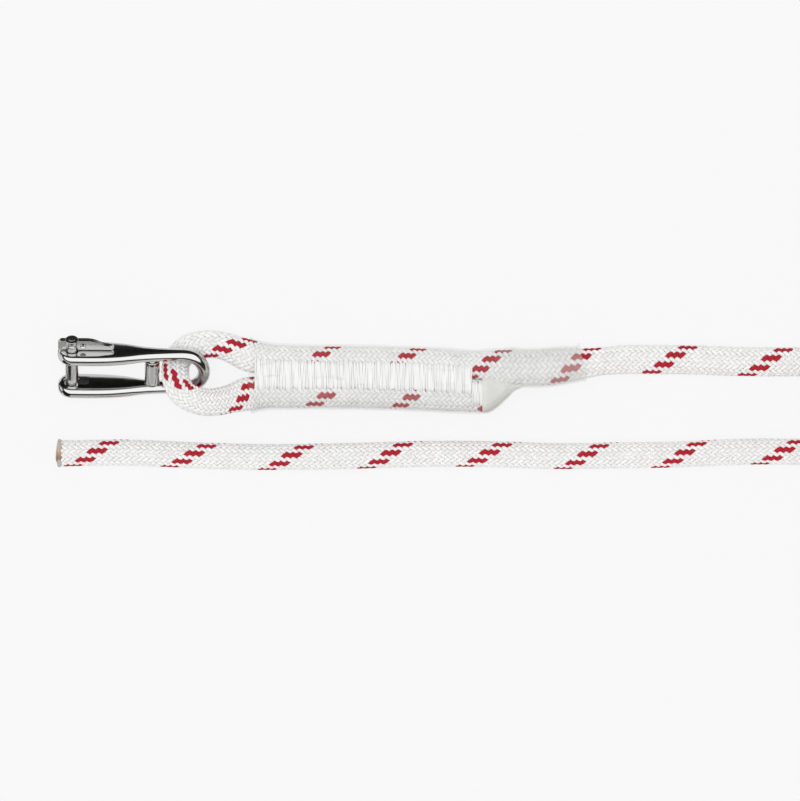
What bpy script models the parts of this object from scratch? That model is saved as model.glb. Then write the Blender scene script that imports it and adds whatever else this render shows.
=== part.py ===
"""A ready-made sailing halyard: 8 mm double-braid rope, a sewn eye and a key-pin shackle.

Metres, +Z up. The halyard lies on z = 0 with its shackle towards -X. The rope runs
towards +X, is folded into a tied hank there, and comes back as the bare tail.
"""
import math

import bmesh
import bpy
import numpy as np
from mathutils import Vector

MM = 0.001
GAP = 0.3 * MM  # between soft pieces that touch
FIT = 0.25 * MM  # between metal pieces that turn or seat in each other

# Rope
ROPE_RADIUS = 4.0 * MM
COVER_WALL = 1.3 * MM
ROPE_SIDES = 16
CORE_SIDES = 10
EYE_BEND_STEP, EYE_LEG_STEP = 1.9 * MM, 4.5 * MM  # from ring to ring, in the bend and along the legs
EYE_BEND_TO = -27.0 * MM

# Shackle: L runs from the pin to the bow, P along the pin, W square to the U
SHACKLE_TILT = math.radians(40)
SHACKLE_YAW = math.radians(-0.8)
PIN_AT = Vector((-74.1, 1.0, 7.75)) * MM  # the pin's axis at the middle of the clevis
CLEVIS_GAP = 8.7 * MM
ARM_HALF_THICK = 1.65 * MM
ARM_CORNER = 1.3 * MM
ARM_END = 4.05 * MM  # from the pin's axis to the round end of an arm
ARM_OUTLINE = [  # distance from the pin's axis, half width of the arm
    (0.0, 4.3), (3.0, 4.3), (6.5, 4.25), (11.5, 3.95), (16.5, 3.25),
    (20.0, 2.6), (23.5, 2.15), (27.5, 1.9), (31.7, 1.8),
]
BOW_AT = 31.7 * MM  # centre of the bow's half circle
BOW_WIRE_RADIUS = 1.8 * MM
ARM_AT = CLEVIS_GAP / 2 + ARM_HALF_THICK  # middle of an arm along the pin

# Cross bar
BAR_AT = 22.9 * MM
BAR_RADIUS = 2.15 * MM
BAR_SPIGOT_RADIUS = 1.4 * MM
BAR_SEAT = 1.1 * MM  # how deep the spigots sit in the arms

# Key pin
PIN_RADIUS = 1.8 * MM
PIN_TOP = 11.3 * MM
PIN_FOOT = -8.8 * MM
NOSE_REACH = 3.0 * MM
NOSE_HALF_WIDTH = 0.95 * MM
KEY_SLOT_REACH = 5.0 * MM
KEY_SLOT_HALF_WIDTH = 1.25 * MM
COUNTERSINK_RADIUS = 2.5 * MM
HANDLE_HALF_THICK = 0.7 * MM
HANDLE_HOLE_AT = 3.2 * MM
HANDLE_HOLE_RADIUS = 0.6 * MM

# The rope passes through the U beside the cross bar, and the shackle swings on it there
CROWN_AT = BAR_AT + BAR_RADIUS + GAP + ROPE_RADIUS

# Eye: from where the standing part leaves the sleeve, round the bow, to the cut end
EYE_ROUTE = np.array([
    (77.7, 3.4, 5.1), (73.8, 2.9, 5.8), (68.0, 1.9, 6.2), (59.5, 1.5, 6.2),
    (48.1, 1.6, 5.9), (40.0, 2.05, 5.5), (33.8, 2.5, 5.3), (19.5, 3.15, 5.1),
    (5.2, 3.45, 5.1), (-4.0, 3.5, 5.1), (-9.0, 3.55, 5.1), (-14.8, 3.8, 5.1),
    (-18.5, 4.05, 5.1), (-22.0, 4.6, 5.15), (-24.8, 5.45, 5.2), (-27.6, 6.6, 5.25),
    (-30.5, 7.65, 5.35), (-33.2, 8.25, 5.35), (-36.4, 8.2, 5.3), (-39.6, 7.55, 5.2),
    (-42.7, 5.6, 5.15), (-44.3, 2.9, 5.75), (-44.6, 0.6, 7.75), (-44.4, -1.7, 9.8),
    (-43.2, -4.6, 10.7), (-40.2, -7.0, 10.4), (-36.0, -8.2, 9.2), (-30.8, -7.75, 7.3),
    (-27.6, -6.95, 6.3), (-24.8, -6.15, 5.65), (-22.0, -5.7, 5.3), (-18.5, -5.6, 5.15),
    (-14.8, -5.65, 5.1), (-9.0, -5.6, 5.1), (5.0, -5.65, 5.1), (19.5, -5.95, 5.1),
    (33.8, -6.5, 5.15), (44.0, -6.85, 5.2),
]) * MM
CROWN_PINCH = 0.13  # the rope is squeezed by this share between the arms of the shackle
CROWN_PINCH_REACH = 3.5 * MM

# Spans along X over which the rope changes: begins, is full, is still full, has ended
SEWN = np.array([-30.5, -22.5, 33.0, 45.0]) * MM
SEWN_SPREAD = 0.22 * MM  # the sewn rope is this much wider at each side, and flatter
SEWN_FLAT = 0.92
THROAT_AT, THROAT_REACH = -23.5 * MM, 4.0 * MM  # where the legs meet, pressed wide
THROAT_SPREAD = (0.7 * MM, 0.5 * MM)  # of the short leg and of the standing one
SPLICE = np.array([44.0, 53.0, 71.5, 77.5]) * MM
SPLICE_SWELL = 1.15 * MM  # the standing part is thicker where the end is buried in it

# Sewing between the two legs
STITCH_FROM, STITCH_TO = -21.0 * MM, 43.0 * MM
STITCH_RISE = 0.45 * MM  # how far the stitching stands above the rope
STITCH_RINGS = 34
STITCH_ON_STANDING, STITCH_ON_SHORT = math.radians(87), math.radians(68)  # its hold on each leg

# Clear heat-shrink sleeve
SLEEVE_FROM, SLEEVE_TO = -23.4 * MM, 73.6 * MM
SLEEVE_WALL = 0.4 * MM
SLEEVE_MERGE = (45.0 * MM, 54.5 * MM)  # the double section becomes single between these
SLEEVE_SIDES = 12  # round each leg

# Free rope
RUN_ROUTE = np.array([
    (78.6, 3.55, 4.95), (83.0, 4.0, 4.45), (90.0, 4.1, 4.1), (99.0, 4.05, 4.05),
    (109.0, 3.6, 4.05), (118.0, 3.4, 4.05), (133.0, 3.3, 4.05), (149.2, 3.3, 4.05),
]) * MM
TAIL_ROUTE = np.array([
    (-76.6, -22.7, 4.05), (-60.0, -22.8, 4.05), (-40.0, -23.2, 4.05),
    (-20.5, -23.6, 4.05), (0.0, -23.1, 4.05), (22.0, -22.8, 4.05), (45.0, -22.9, 4.05),
    (65.0, -23.6, 4.05), (82.0, -23.3, 4.05), (100.0, -22.7, 4.05),
    (118.0, -22.4, 4.05), (133.0, -22.4, 4.05), (149.2, -22.4, 4.05),
]) * MM
END_SEAL_AT = -78.5 * MM
END_SEAL_THICK = 1.6 * MM
END_SEAL_RADIUS = 4.35 * MM
END_SEAL_PROFILE = [  # shares of its radius and of its thickness, from the crown of the fused end
    (0.08, 0.0), (0.4, 0.06), (0.68, 0.22), (0.88, 0.45), (0.98, 0.7), (1.0, 0.85), (0.96, 1.0),
]

# Hank of the length that is put away: a rope bundle folded to and fro
HANK_CENTRE = Vector((247.0, -9.5, 0.0)) * MM
HANK_HALF_STRAIGHT = 46.0 * MM
HANK_INNER, HANK_OUTER = 20.0 * MM, 52.0 * MM  # from the middle line to its two walls
HANK_HEIGHT = 66.0 * MM
HANK_PROP = 8.0 * MM  # it lies on its own two ends at the near side
WAIST = 0.94  # what the tie draws the bundle in to
WAIST_REACH = 17.0 * MM
TIE_HALF_WIDTH = 8.0 * MM
TIE_WALL = 1.4 * MM
TIE_CLEAR = 0.55 * MM  # from the bundle to the strap


def clear_scene():
    for old in list(bpy.data.objects):
        bpy.data.objects.remove(old, do_unlink=True)


def material(name, colour, roughness, metallic=0.0, transmission=0.0):
    """A plain Principled material with this colour and finish."""
    made = bpy.data.materials.new(name)
    made.use_nodes = True
    shader = made.node_tree.nodes["Principled BSDF"]
    shader.inputs["Base Color"].default_value = (*colour, 1.0)
    shader.inputs["Roughness"].default_value = roughness
    shader.inputs["Metallic"].default_value = metallic
    shader.inputs["Transmission Weight"].default_value = transmission
    made.diffuse_color = (*colour, 1.0)
    return made


def add(name, data, finish, parent=None):
    """Put a mesh or curve into the scene under this name."""
    made = bpy.data.objects.new(name, data)
    made.parent = parent
    if finish:
        data.materials.append(finish)
    bpy.context.scene.collection.objects.link(made)
    return made


def mesh_from(name, build, smooth_below=math.radians(40)):
    """A mesh filled by build(bm), with its faces pointing out and its curves smooth."""
    bm = bmesh.new()
    build(bm)
    bmesh.ops.recalc_face_normals(bm, faces=bm.faces)
    if bm.calc_volume(signed=True) < 0:
        bmesh.ops.reverse_faces(bm, faces=bm.faces)
    mesh = bpy.data.meshes.new(name)
    bm.to_mesh(mesh)
    bm.free()
    mesh.shade_smooth()
    mesh.set_sharp_from_angle(angle=smooth_below)
    return mesh


def skin(bm, rings, closed=False):
    """Join rings of equally many points with quads, and cap both ends unless closed."""
    rows = [[bm.verts.new(point) for point in ring] for ring in rings]
    count = len(rows[0])
    pairs = list(zip(rows, rows[1:] + rows[:1])) if closed else list(zip(rows, rows[1:]))
    for near, far in pairs:
        for i in range(count):
            j = (i + 1) % count
            bm.faces.new((near[i], near[j], far[j], far[i]))
    if not closed:
        bm.faces.new(rows[0])
        bm.faces.new(rows[-1])


def turned(profile, sides, start=0.5):
    """Rings of a piece turned about local Y, from (radius, height) points."""
    angles = (np.arange(sides) + start) * 2 * math.pi / sides
    return [
        [(r * math.cos(a), y, r * math.sin(a)) for a in angles]
        for r, y in profile
    ]


def plate(bm, outline, low, high):
    """A flat plate with this outline in the local XY plane, from low to high in Z."""
    skin(bm, [[(x, y, z) for x, y in outline] for z in (low, high)])


def round_slot(start, end, radius, steps=8):
    """Outline of a slot with round ends along local X, seen from local Y."""
    turn = np.linspace(-math.pi / 2, math.pi / 2, steps)
    far = [(end + radius * math.cos(a), radius * math.sin(a)) for a in turn]
    near = [(start - radius * math.cos(a), -radius * math.sin(a)) for a in turn]
    return far + near


def cutter(name, build, parent):
    """A hidden solid that only cuts another one."""
    made = add(name, mesh_from(name, build), None, parent)
    made.hide_render = True
    made.display_type = "WIRE"
    return made


def boolean(target, other, operation):
    step = target.modifiers.new(other.name, "BOOLEAN")
    step.operation = operation
    step.solver = "EXACT"
    step.object = other


def smooth_step(value):
    value = np.clip(value, 0.0, 1.0)
    return value * value * (3 - 2 * value)


def span(x, edges):
    """From 0 to 1 and back to 0 over the four edges of a span."""
    start, full, leave, end = edges
    return smooth_step((x - start) / (full - start)) * smooth_step((end - x) / (end - leave))


def spline(route, step):
    """Points about step apart on a smooth cubic curve through the route's points."""
    route = np.asarray(route, float)
    knots = np.concatenate([[0], np.cumsum(np.linalg.norm(np.diff(route, axis=0), axis=1))])
    gaps = np.diff(knots)
    count = len(route)
    system, right = np.eye(count), np.zeros((count, 3))
    for i in range(1, count - 1):
        system[i, i - 1:i + 2] = gaps[i - 1], 2 * (gaps[i - 1] + gaps[i]), gaps[i]
        slopes = np.diff(route[i - 1:i + 2], axis=0) / gaps[i - 1:i + 1, None]
        right[i] = 6 * (slopes[1] - slopes[0])
    bend = np.linalg.solve(system, right)
    points = []
    for at in np.linspace(0, knots[-1], max(2, round(knots[-1] / step) + 1)):
        i = min(count - 2, int(np.searchsorted(knots, at, side="right")) - 1)
        h, before, after = gaps[i], knots[i + 1] - at, at - knots[i]
        points.append(
            (bend[i] * before**3 + bend[i + 1] * after**3) / (6 * h)
            + (route[i] / h - bend[i] * h / 6) * before
            + (route[i + 1] / h - bend[i + 1] * h / 6) * after
        )
    return np.array(points)


def rings_along(line, radii, sides, squeezes=None):
    """Round sections along a line, each flattened by its squeeze (direction, factor)."""
    tangents = np.gradient(line, axis=0)
    tangents /= np.linalg.norm(tangents, axis=1)[:, None]
    side = np.cross(tangents[0], (0.0, 0.0, 1.0))
    rings = []
    for i, (centre, along, radius) in enumerate(zip(line, tangents, radii)):
        side = side - along * (side @ along)
        side /= np.linalg.norm(side)
        up = np.cross(side, along)
        ring = [
            radius * (side * math.cos(a) + up * math.sin(a))
            for a in np.arange(sides) * 2 * math.pi / sides
        ]
        if squeezes is not None:
            direction, factor = squeezes[i]
            ring = [v - direction * ((1 - factor) * (v @ direction)) for v in ring]
        rings.append([centre + v for v in ring])
    return rings


def shackle_frame():
    """An empty on the swing axis and one on the pin's axis, both with axes L, P, W."""
    swing = bpy.data.objects.new("shackle_swing_axis", None)
    swing.rotation_euler = (SHACKLE_TILT, 0.0, SHACKLE_YAW)
    reach = Vector((math.cos(SHACKLE_YAW), math.sin(SHACKLE_YAW), 0.0)) * CROWN_AT
    swing.location = PIN_AT + reach
    bpy.context.scene.collection.objects.link(swing)
    pin = bpy.data.objects.new("pin_axis", None)
    pin.parent = swing
    pin.location = (-CROWN_AT, 0.0, 0.0)
    bpy.context.scene.collection.objects.link(pin)
    return pin


def arm_section(half_wide, half_thick, corner, steps=4):
    """A rounded rectangle: width along W, thickness across the arm."""
    corner = min(corner, 0.94 * half_wide, 0.94 * half_thick)
    points = []
    for quarter in range(4):
        sign_w = 1 if quarter in (0, 3) else -1
        sign_t = 1 if quarter in (0, 1) else -1
        for k in range(steps):
            a = (quarter + k / (steps - 1)) * math.pi / 2
            points.append((
                sign_w * (half_wide - corner) + corner * math.cos(a),
                sign_t * (half_thick - corner) + corner * math.sin(a),
            ))
    return points


def arm_stations():
    """Along one arm from its round end to the bow: (L, half width, half thickness)."""
    stations = []
    for angle in (82, 68, 54, 40, 26, 13):
        back = ARM_END * math.sin(math.radians(angle))
        wide = ARM_OUTLINE[0][1] * MM * math.cos(math.radians(angle))
        over = max(0.0, back - (ARM_END - ARM_CORNER))
        thick = ARM_HALF_THICK - ARM_CORNER + math.sqrt(ARM_CORNER**2 - over**2)
        stations.append((-back, wide, thick))
    for at, wide in ARM_OUTLINE:
        share = smooth_step((at - 24.0) / (BOW_AT / MM - 24.0))
        thick = ARM_HALF_THICK + share * (BOW_WIRE_RADIUS - ARM_HALF_THICK)
        stations.append((at * MM, wide * MM, thick))
    return stations


def build_shackle_body(pin, steel):
    """Forged U: two flat arms that taper into a round bow."""
    rings = []

    def ring(centre, outward, wide, thick):
        share = smooth_step((BOW_WIRE_RADIUS * 2 - wide) / BOW_WIRE_RADIUS)
        corner = ARM_CORNER + share * (BOW_WIRE_RADIUS - ARM_CORNER)
        rings.append([
            (centre[0] + outward[0] * t, centre[1] + outward[1] * t, w)
            for w, t in arm_section(wide, thick, corner)
        ])

    stations = arm_stations()
    for at, wide, thick in stations:
        ring((at, ARM_AT), (0, 1), wide, thick)
    for angle in np.linspace(80, -80, 17):
        out = math.cos(math.radians(angle)), math.sin(math.radians(angle))
        middle = BOW_AT + ARM_AT * out[0], ARM_AT * out[1]
        ring(middle, out, BOW_WIRE_RADIUS, BOW_WIRE_RADIUS)
    for at, wide, thick in reversed(stations):
        ring((at, -ARM_AT), (0, -1), wide, thick)

    body = add("shackle_body", mesh_from("shackle_body", lambda bm: skin(bm, rings)), steel, pin)
    inner, outer = CLEVIS_GAP / 2, CLEVIS_GAP / 2 + 2 * ARM_HALF_THICK
    bore = PIN_RADIUS + FIT
    past = 1.0 * MM
    cuts = {
        "cut_pin_bore": turned([(bore, -outer - past), (bore, outer + past)], 24),
        "cut_countersink": turned(
            [(COUNTERSINK_RADIUS + past, -inner + past), (COUNTERSINK_RADIUS, -inner),
             (bore - 0.1 * MM, -inner - COUNTERSINK_RADIUS + bore - 0.1 * MM)], 24, 0.2),
    }
    for name, cut_rings in cuts.items():
        boolean(body, cutter(name, lambda bm, r=cut_rings: skin(bm, r), pin), "DIFFERENCE")

    slot = round_slot(0.4 * MM, KEY_SLOT_REACH - KEY_SLOT_HALF_WIDTH, KEY_SLOT_HALF_WIDTH)
    levels = (-outer - past, -inner + past)
    slot_rings = [[(x, y, z) for x, z in slot] for y in levels]
    boolean(body, cutter("cut_key_slot", lambda bm: skin(bm, slot_rings), pin), "DIFFERENCE")

    seat = BAR_SPIGOT_RADIUS + FIT
    depth = inner + BAR_SEAT + FIT
    seat_rings = [
        [(x + BAR_AT, y, z) for x, y, z in ring_points]
        for ring_points in turned([(seat, -depth), (seat, depth)], 20)
    ]
    boolean(body, cutter("cut_bar_seats", lambda bm: skin(bm, seat_rings), pin), "DIFFERENCE")
    return body


def build_cross_bar(pin, steel):
    """Round bar between the arms, with a spigot seated in each of them."""
    shoulder = CLEVIS_GAP / 2 - FIT
    end = CLEVIS_GAP / 2 + BAR_SEAT
    edge = 0.2 * MM
    half = [
        (BAR_SPIGOT_RADIUS, end), (BAR_SPIGOT_RADIUS, shoulder),
        (BAR_RADIUS - edge, shoulder), (BAR_RADIUS, shoulder - edge),
    ]
    profile = half + [(r, -y) for r, y in reversed(half)]
    bar = add("cross_bar", mesh_from("cross_bar", lambda bm: skin(bm, turned(profile, 24))), steel, pin)
    bar.location = (BAR_AT, 0.0, 0.0)
    return bar


def handle_outline():
    """The blade seen square to its flat side: high at the pin, tapering to a lipped tip."""
    low = CLEVIS_GAP / 2 + 2 * ARM_HALF_THICK + FIT
    top = PIN_TOP - 0.1 * MM
    back = [(-3.9 + 0.9 * (1 - math.cos(a)), 10.3 + 0.9 * math.sin(a)) for a in (0.0, 0.5, 1.0, 1.57)]
    front = [
        (4.9, top / MM), (6.2, 10.95), (8.2, 10.1), (10.2, 9.45), (11.0, 9.5),
        (11.6, 9.35), (12.0, 8.9), (11.9, 8.4), (11.4, low / MM),
    ]
    points = [(-3.9, low / MM + 0.4), *back, *front, (-3.5, low / MM)]
    return [(x * MM, y * MM) for x, y in points]


def build_key_pin(pin, steel):
    """Captive pin with its blade handle on top and its key nose underneath."""
    edge = 0.25 * MM
    dimple = 0.75 * MM
    profile = [
        (0.05 * MM, PIN_TOP - 0.45 * MM), (dimple, PIN_TOP), (PIN_RADIUS - edge, PIN_TOP),
        (PIN_RADIUS, PIN_TOP - edge), (PIN_RADIUS, PIN_TOP - 1.2 * MM),
        (PIN_RADIUS - 0.2 * MM, PIN_TOP - 1.4 * MM), (PIN_RADIUS - 0.2 * MM, PIN_TOP - 1.7 * MM),
        (PIN_RADIUS, PIN_TOP - 1.9 * MM), (PIN_RADIUS, PIN_FOOT + edge),
        (PIN_RADIUS - edge, PIN_FOOT),
    ]
    body = add("key_pin", mesh_from("key_pin", lambda bm: skin(bm, turned(profile, 24))), steel, pin)

    def blade(bm):
        plate(bm, handle_outline(), -HANDLE_HALF_THICK, HANDLE_HALF_THICK)
        rims = [e for e in bm.edges if abs(e.verts[0].co.z - e.verts[1].co.z) < 1e-7]
        bmesh.ops.bevel(bm, geom=rims, offset=0.25 * MM, segments=2, affect="EDGES")

    handle = cutter("pin_blade", blade, pin)
    hole_at = (CLEVIS_GAP / 2 + 2 * ARM_HALF_THICK + PIN_TOP) / 2
    hole = cutter("cut_lanyard_hole", lambda bm: skin(bm, [
        [(HANDLE_HOLE_AT + HANDLE_HOLE_RADIUS * math.cos(a), hole_at + HANDLE_HOLE_RADIUS * math.sin(a), z)
         for a in np.arange(16) * math.pi / 8]
        for z in (-2 * HANDLE_HALF_THICK, 2 * HANDLE_HALF_THICK)
    ]), pin)
    nose_top = -(CLEVIS_GAP / 2 + 2 * ARM_HALF_THICK + FIT)
    lug = round_slot(-(NOSE_REACH - NOSE_HALF_WIDTH), 0.0, NOSE_HALF_WIDTH)
    lug_rings = [[(x, y, z) for x, z in lug] for y in (nose_top, PIN_FOOT + 0.05 * MM)]
    nose = cutter("pin_nose", lambda bm: skin(bm, lug_rings), pin)
    boolean(body, handle, "UNION")
    boolean(body, nose, "UNION")
    boolean(body, hole, "DIFFERENCE")
    return body


def eye_line():
    return spline(EYE_ROUTE, 0.5 * MM)


def lengths_along(line):
    return np.concatenate([[0], np.cumsum(np.linalg.norm(np.diff(line, axis=0), axis=1))])


def crown_index(line):
    """The point of the eye that lies in the plane of the U, on the swing axis."""
    reach = Vector((math.cos(SHACKLE_YAW), math.sin(SHACKLE_YAW), 0.0)) * CROWN_AT
    crown = np.array(PIN_AT + reach)
    return int(np.argmin(np.linalg.norm(line - crown, axis=1)))


def half_width(x, standing):
    """Half of the rope's width at this X, on the standing leg or on the short one."""
    spread = SEWN_SPREAD * span(x, SEWN)
    throat = math.exp(-((x - THROAT_AT) / THROAT_REACH) ** 2)
    spread = spread + THROAT_SPREAD[bool(standing)] * throat
    return ROPE_RADIUS + spread + SPLICE_SWELL * span(x, SPLICE) * standing


def half_height(x, standing):
    """Half of the rope's height at this X: sewn rope is flatter."""
    flat = 1 - (1 - SEWN_FLAT) * span(x, SEWN)
    return (ROPE_RADIUS + SPLICE_SWELL * span(x, SPLICE) * standing) * flat


def eye_rings(line, inset, sides):
    """Sections of the eye, this far inside the rope's surface."""
    crown = crown_index(line)
    lengths = lengths_along(line)
    step = np.where(line[:, 0] < EYE_BEND_TO, EYE_BEND_STEP, EYE_LEG_STEP)
    shares = lengths_along(np.cumsum(np.gradient(lengths) / step)[:, None])
    count = round(shares[-1])
    picked = np.searchsorted(shares, np.linspace(0, shares[-1], count + 1)).clip(0, len(line) - 1)

    pin_way = np.array((0.0, math.cos(SHACKLE_TILT), math.sin(SHACKLE_TILT)))
    up = np.array((0.0, 0.0, 1.0))
    radii, squeezes = [], []
    for i in picked:
        x, standing = line[i, 0], i < crown
        wide, high = half_width(x, standing) - inset, half_height(x, standing) - inset
        away = (lengths[i] - lengths[crown]) / CROWN_PINCH_REACH
        radii.append(wide)
        if abs(away) < 3:
            squeezes.append((pin_way, 1 - CROWN_PINCH * math.exp(-away * away)))
        else:
            squeezes.append((up, high / wide))
    return rings_along(line[picked], radii, sides, squeezes)


def build_eye(cover_finish, core_finish):
    """The rope's braided cover as a hollow tube, and its core inside."""
    line = eye_line()
    outer = eye_rings(line, 0.0, ROPE_SIDES)
    inner = eye_rings(line, COVER_WALL, ROPE_SIDES)
    core = eye_rings(line, COVER_WALL + GAP, CORE_SIDES)

    def cover(bm):
        skin(bm, outer + inner[::-1], closed=True)

    add("eye_cover", mesh_from("eye_cover", cover), cover_finish)
    add("eye_core", mesh_from("eye_core", lambda bm: skin(bm, core)), core_finish)


def leg_centres(x, line):
    """Centres (Y, Z) of the standing leg and of the short leg of the eye at this X."""
    crown = crown_index(line)
    centres = []
    for leg in (line[:crown][::-1], line[crown:]):
        leg = leg[np.argmin(leg[:, 0]):]
        centres.append(np.array([np.interp(x, leg[:, 0], leg[:, k]) for k in (1, 2)]))
    return centres


def build_stitching(finish):
    """Thread block between the two legs: it caps the valley above and below."""
    line = eye_line()
    rings = []
    for x in np.linspace(STITCH_FROM, STITCH_TO, STITCH_RINGS):
        (yu, zu), (yl, zl) = leg_centres(x, line)
        wide, high = half_width(x, True) + GAP, half_height(x, True) + GAP
        on_standing = np.linspace(-STITCH_ON_STANDING, STITCH_ON_STANDING, 9)
        on_short = np.linspace(STITCH_ON_SHORT, -STITCH_ON_SHORT, 7)
        upper = [(yu - wide * math.cos(a), zu + high * math.sin(a)) for a in on_standing]
        lower = [(yl + wide * math.cos(a), zl + high * math.sin(a)) for a in on_short]
        rise = high - GAP + STITCH_RISE
        across = np.linspace(upper[-1][0], lower[0][0], 4)
        top = [(y, (zu + zl) / 2 + rise) for y in across]
        bottom = [(y, (zu + zl) / 2 - rise) for y in across[::-1]]
        rings.append([(x, y, z) for y, z in upper[1:-1] + top + lower[1:-1] + bottom])
    add("stitching", mesh_from("stitching", lambda bm: skin(bm, rings)), finish)


def sleeve_rings(line, grow):
    """Sections round both legs, closing to the standing leg alone."""
    first, last = SLEEVE_MERGE
    stations = np.concatenate([
        np.linspace(SLEEVE_FROM, first, 13)[:-1], np.linspace(first, last, 9)[:-1],
        np.linspace(last, SLEEVE_TO, 8),
    ])
    turn = np.linspace(-math.pi / 2, math.pi / 2, SLEEVE_SIDES)
    rings = []
    for x in stations:
        (yu, zu), (yl, zl) = leg_centres(x, line)
        merge = smooth_step((x - first) / (last - first))
        yl, zl = yl + (yu - yl) * merge, zl + (zu - zl) * merge
        wide, high = half_width(x, True), half_height(x, True)
        short_wide = half_width(x, False) * (1 - merge) + wide * merge
        stitch_clear = (1 - merge) * STITCH_RISE
        high += GAP + grow + stitch_clear
        upper = [(x, yu + (wide + GAP + grow) * math.cos(a), zu + high * math.sin(a)) for a in turn]
        lower = [(x, yl - (short_wide + GAP + grow) * math.cos(a), zl - high * math.sin(a)) for a in turn]
        rings.append(upper + lower)
    return rings


def build_sleeve(finish):
    """Thin clear tube shrunk over the sewn legs and the splice."""
    line = eye_line()
    walls = sleeve_rings(line, SLEEVE_WALL) + sleeve_rings(line, 0.0)[::-1]
    add("shrink_sleeve", mesh_from("shrink_sleeve", lambda bm: skin(bm, walls, closed=True)), finish)


def build_tube(name, route, finish):
    """A plain rope tube along a smooth curve through the route."""
    line = spline(route, 2.5 * 2 * ROPE_RADIUS)
    curve = bpy.data.curves.new(name, "CURVE")
    curve.dimensions = "3D"
    curve.bevel_depth = ROPE_RADIUS
    curve.bevel_resolution = 3
    curve.render_resolution_u = 0
    curve.use_fill_caps = True
    path = curve.splines.new("POLY")
    path.points.add(len(line) - 1)
    for point, at in zip(path.points, line):
        point.co = (*at, 1.0)
    return add(name, curve, finish)


def build_end_seal(finish):
    """The heat-cut end of the tail: fused fibre, domed and flared a little past the rope."""
    profile = [(r * END_SEAL_RADIUS, t * END_SEAL_THICK) for r, t in END_SEAL_PROFILE]
    rings = [[(y, x, z) for x, y, z in ring] for ring in turned(profile, 24)]
    seal = add("end_seal", mesh_from("end_seal", lambda bm: skin(bm, rings)), finish)
    seal.location = (END_SEAL_AT, TAIL_ROUTE[0][1], END_SEAL_RADIUS + 0.02 * MM)
    return seal


def waist_scale(x):
    return 1 - (1 - WAIST) * math.exp(-((x - HANK_CENTRE.x) / WAIST_REACH) ** 4)


def prop_lift(x):
    """How far the hank's near end is lifted by the two rope ends under it."""
    clear_of_tie = TIE_HALF_WIDTH + 4 * MM
    return HANK_PROP * smooth_step(
        (HANK_CENTRE.x - clear_of_tie - x) / (HANK_HALF_STRAIGHT - clear_of_tie)
    )


def racetrack(share):
    """Direction from the middle line and place on it, for a share of one turn."""
    straight, arc = 2 * HANK_HALF_STRAIGHT, math.pi * (HANK_INNER + HANK_OUTER) / 2
    at = share * 2 * (straight + arc)
    if at < straight:
        return (at - HANK_HALF_STRAIGHT, 0.0), (0.0, 1.0)
    if at < straight + arc:
        a = (at - straight) / arc * math.pi
        return (HANK_HALF_STRAIGHT, 0.0), (math.sin(a), math.cos(a))
    if at < 2 * straight + arc:
        return (HANK_HALF_STRAIGHT - (at - straight - arc), 0.0), (0.0, -1.0)
    a = (at - 2 * straight - arc) / arc * math.pi
    return (-HANK_HALF_STRAIGHT, 0.0), (-math.sin(a), -math.cos(a))


def build_hank(finish):
    """Outer shape of the folded rope: a bundle round an open slot, drawn in at the tie."""
    middle = (HANK_INNER + HANK_OUTER) / 2
    half, edge = (HANK_OUTER - HANK_INNER) / 2, ROPE_RADIUS
    section = [
        (-half, edge), (-half, HANK_HEIGHT - edge), (-half + edge, HANK_HEIGHT),
        (half - edge, HANK_HEIGHT), (half, HANK_HEIGHT - edge), (half, edge),
        (half - edge, 0.0), (-half + edge, 0.0),
    ]
    rings = []
    for share in np.arange(64) / 64:
        (x, y), (out_x, out_y) = racetrack(share)
        ring = []
        for across, z in section:
            at_x = HANK_CENTRE.x + x + out_x * (middle + across)
            scale = waist_scale(at_x)
            at_y = HANK_CENTRE.y + y + out_y * (middle + across) * scale
            lifted = HANK_HEIGHT / 2 + (z - HANK_HEIGHT / 2) * scale
            ring.append((at_x, at_y, lifted + prop_lift(at_x) * z / HANK_HEIGHT))
        rings.append(ring)
    add("rope_hank", mesh_from("rope_hank", lambda bm: skin(bm, rings, closed=True)), finish)


def build_tie(finish):
    """Strap round the waist of the hank."""
    half_y = HANK_OUTER * WAIST
    low = HANK_HEIGHT / 2 * (1 - WAIST)
    high = HANK_HEIGHT - low

    def loop(x, grow):
        reach_y, bottom, top = half_y + grow, low - grow, high + grow
        radius = ROPE_RADIUS + grow
        points = []
        for quarter in range(4):
            sign_y = 1 if quarter in (0, 3) else -1
            centre_z = top - radius if quarter in (0, 1) else bottom + radius
            for k in range(4):
                a = (quarter + k / 3) * math.pi / 2
                points.append((
                    HANK_CENTRE.x + x,
                    HANK_CENTRE.y + sign_y * (reach_y - radius) + radius * math.cos(a),
                    centre_z + radius * math.sin(a),
                ))
        return points

    inner, outer = TIE_CLEAR, TIE_CLEAR + TIE_WALL
    rings = [
        loop(-TIE_HALF_WIDTH, outer), loop(TIE_HALF_WIDTH, outer),
        loop(TIE_HALF_WIDTH, inner), loop(-TIE_HALF_WIDTH, inner),
    ]
    add("hank_tie", mesh_from("hank_tie", lambda bm: skin(bm, rings, closed=True)), finish)


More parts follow.
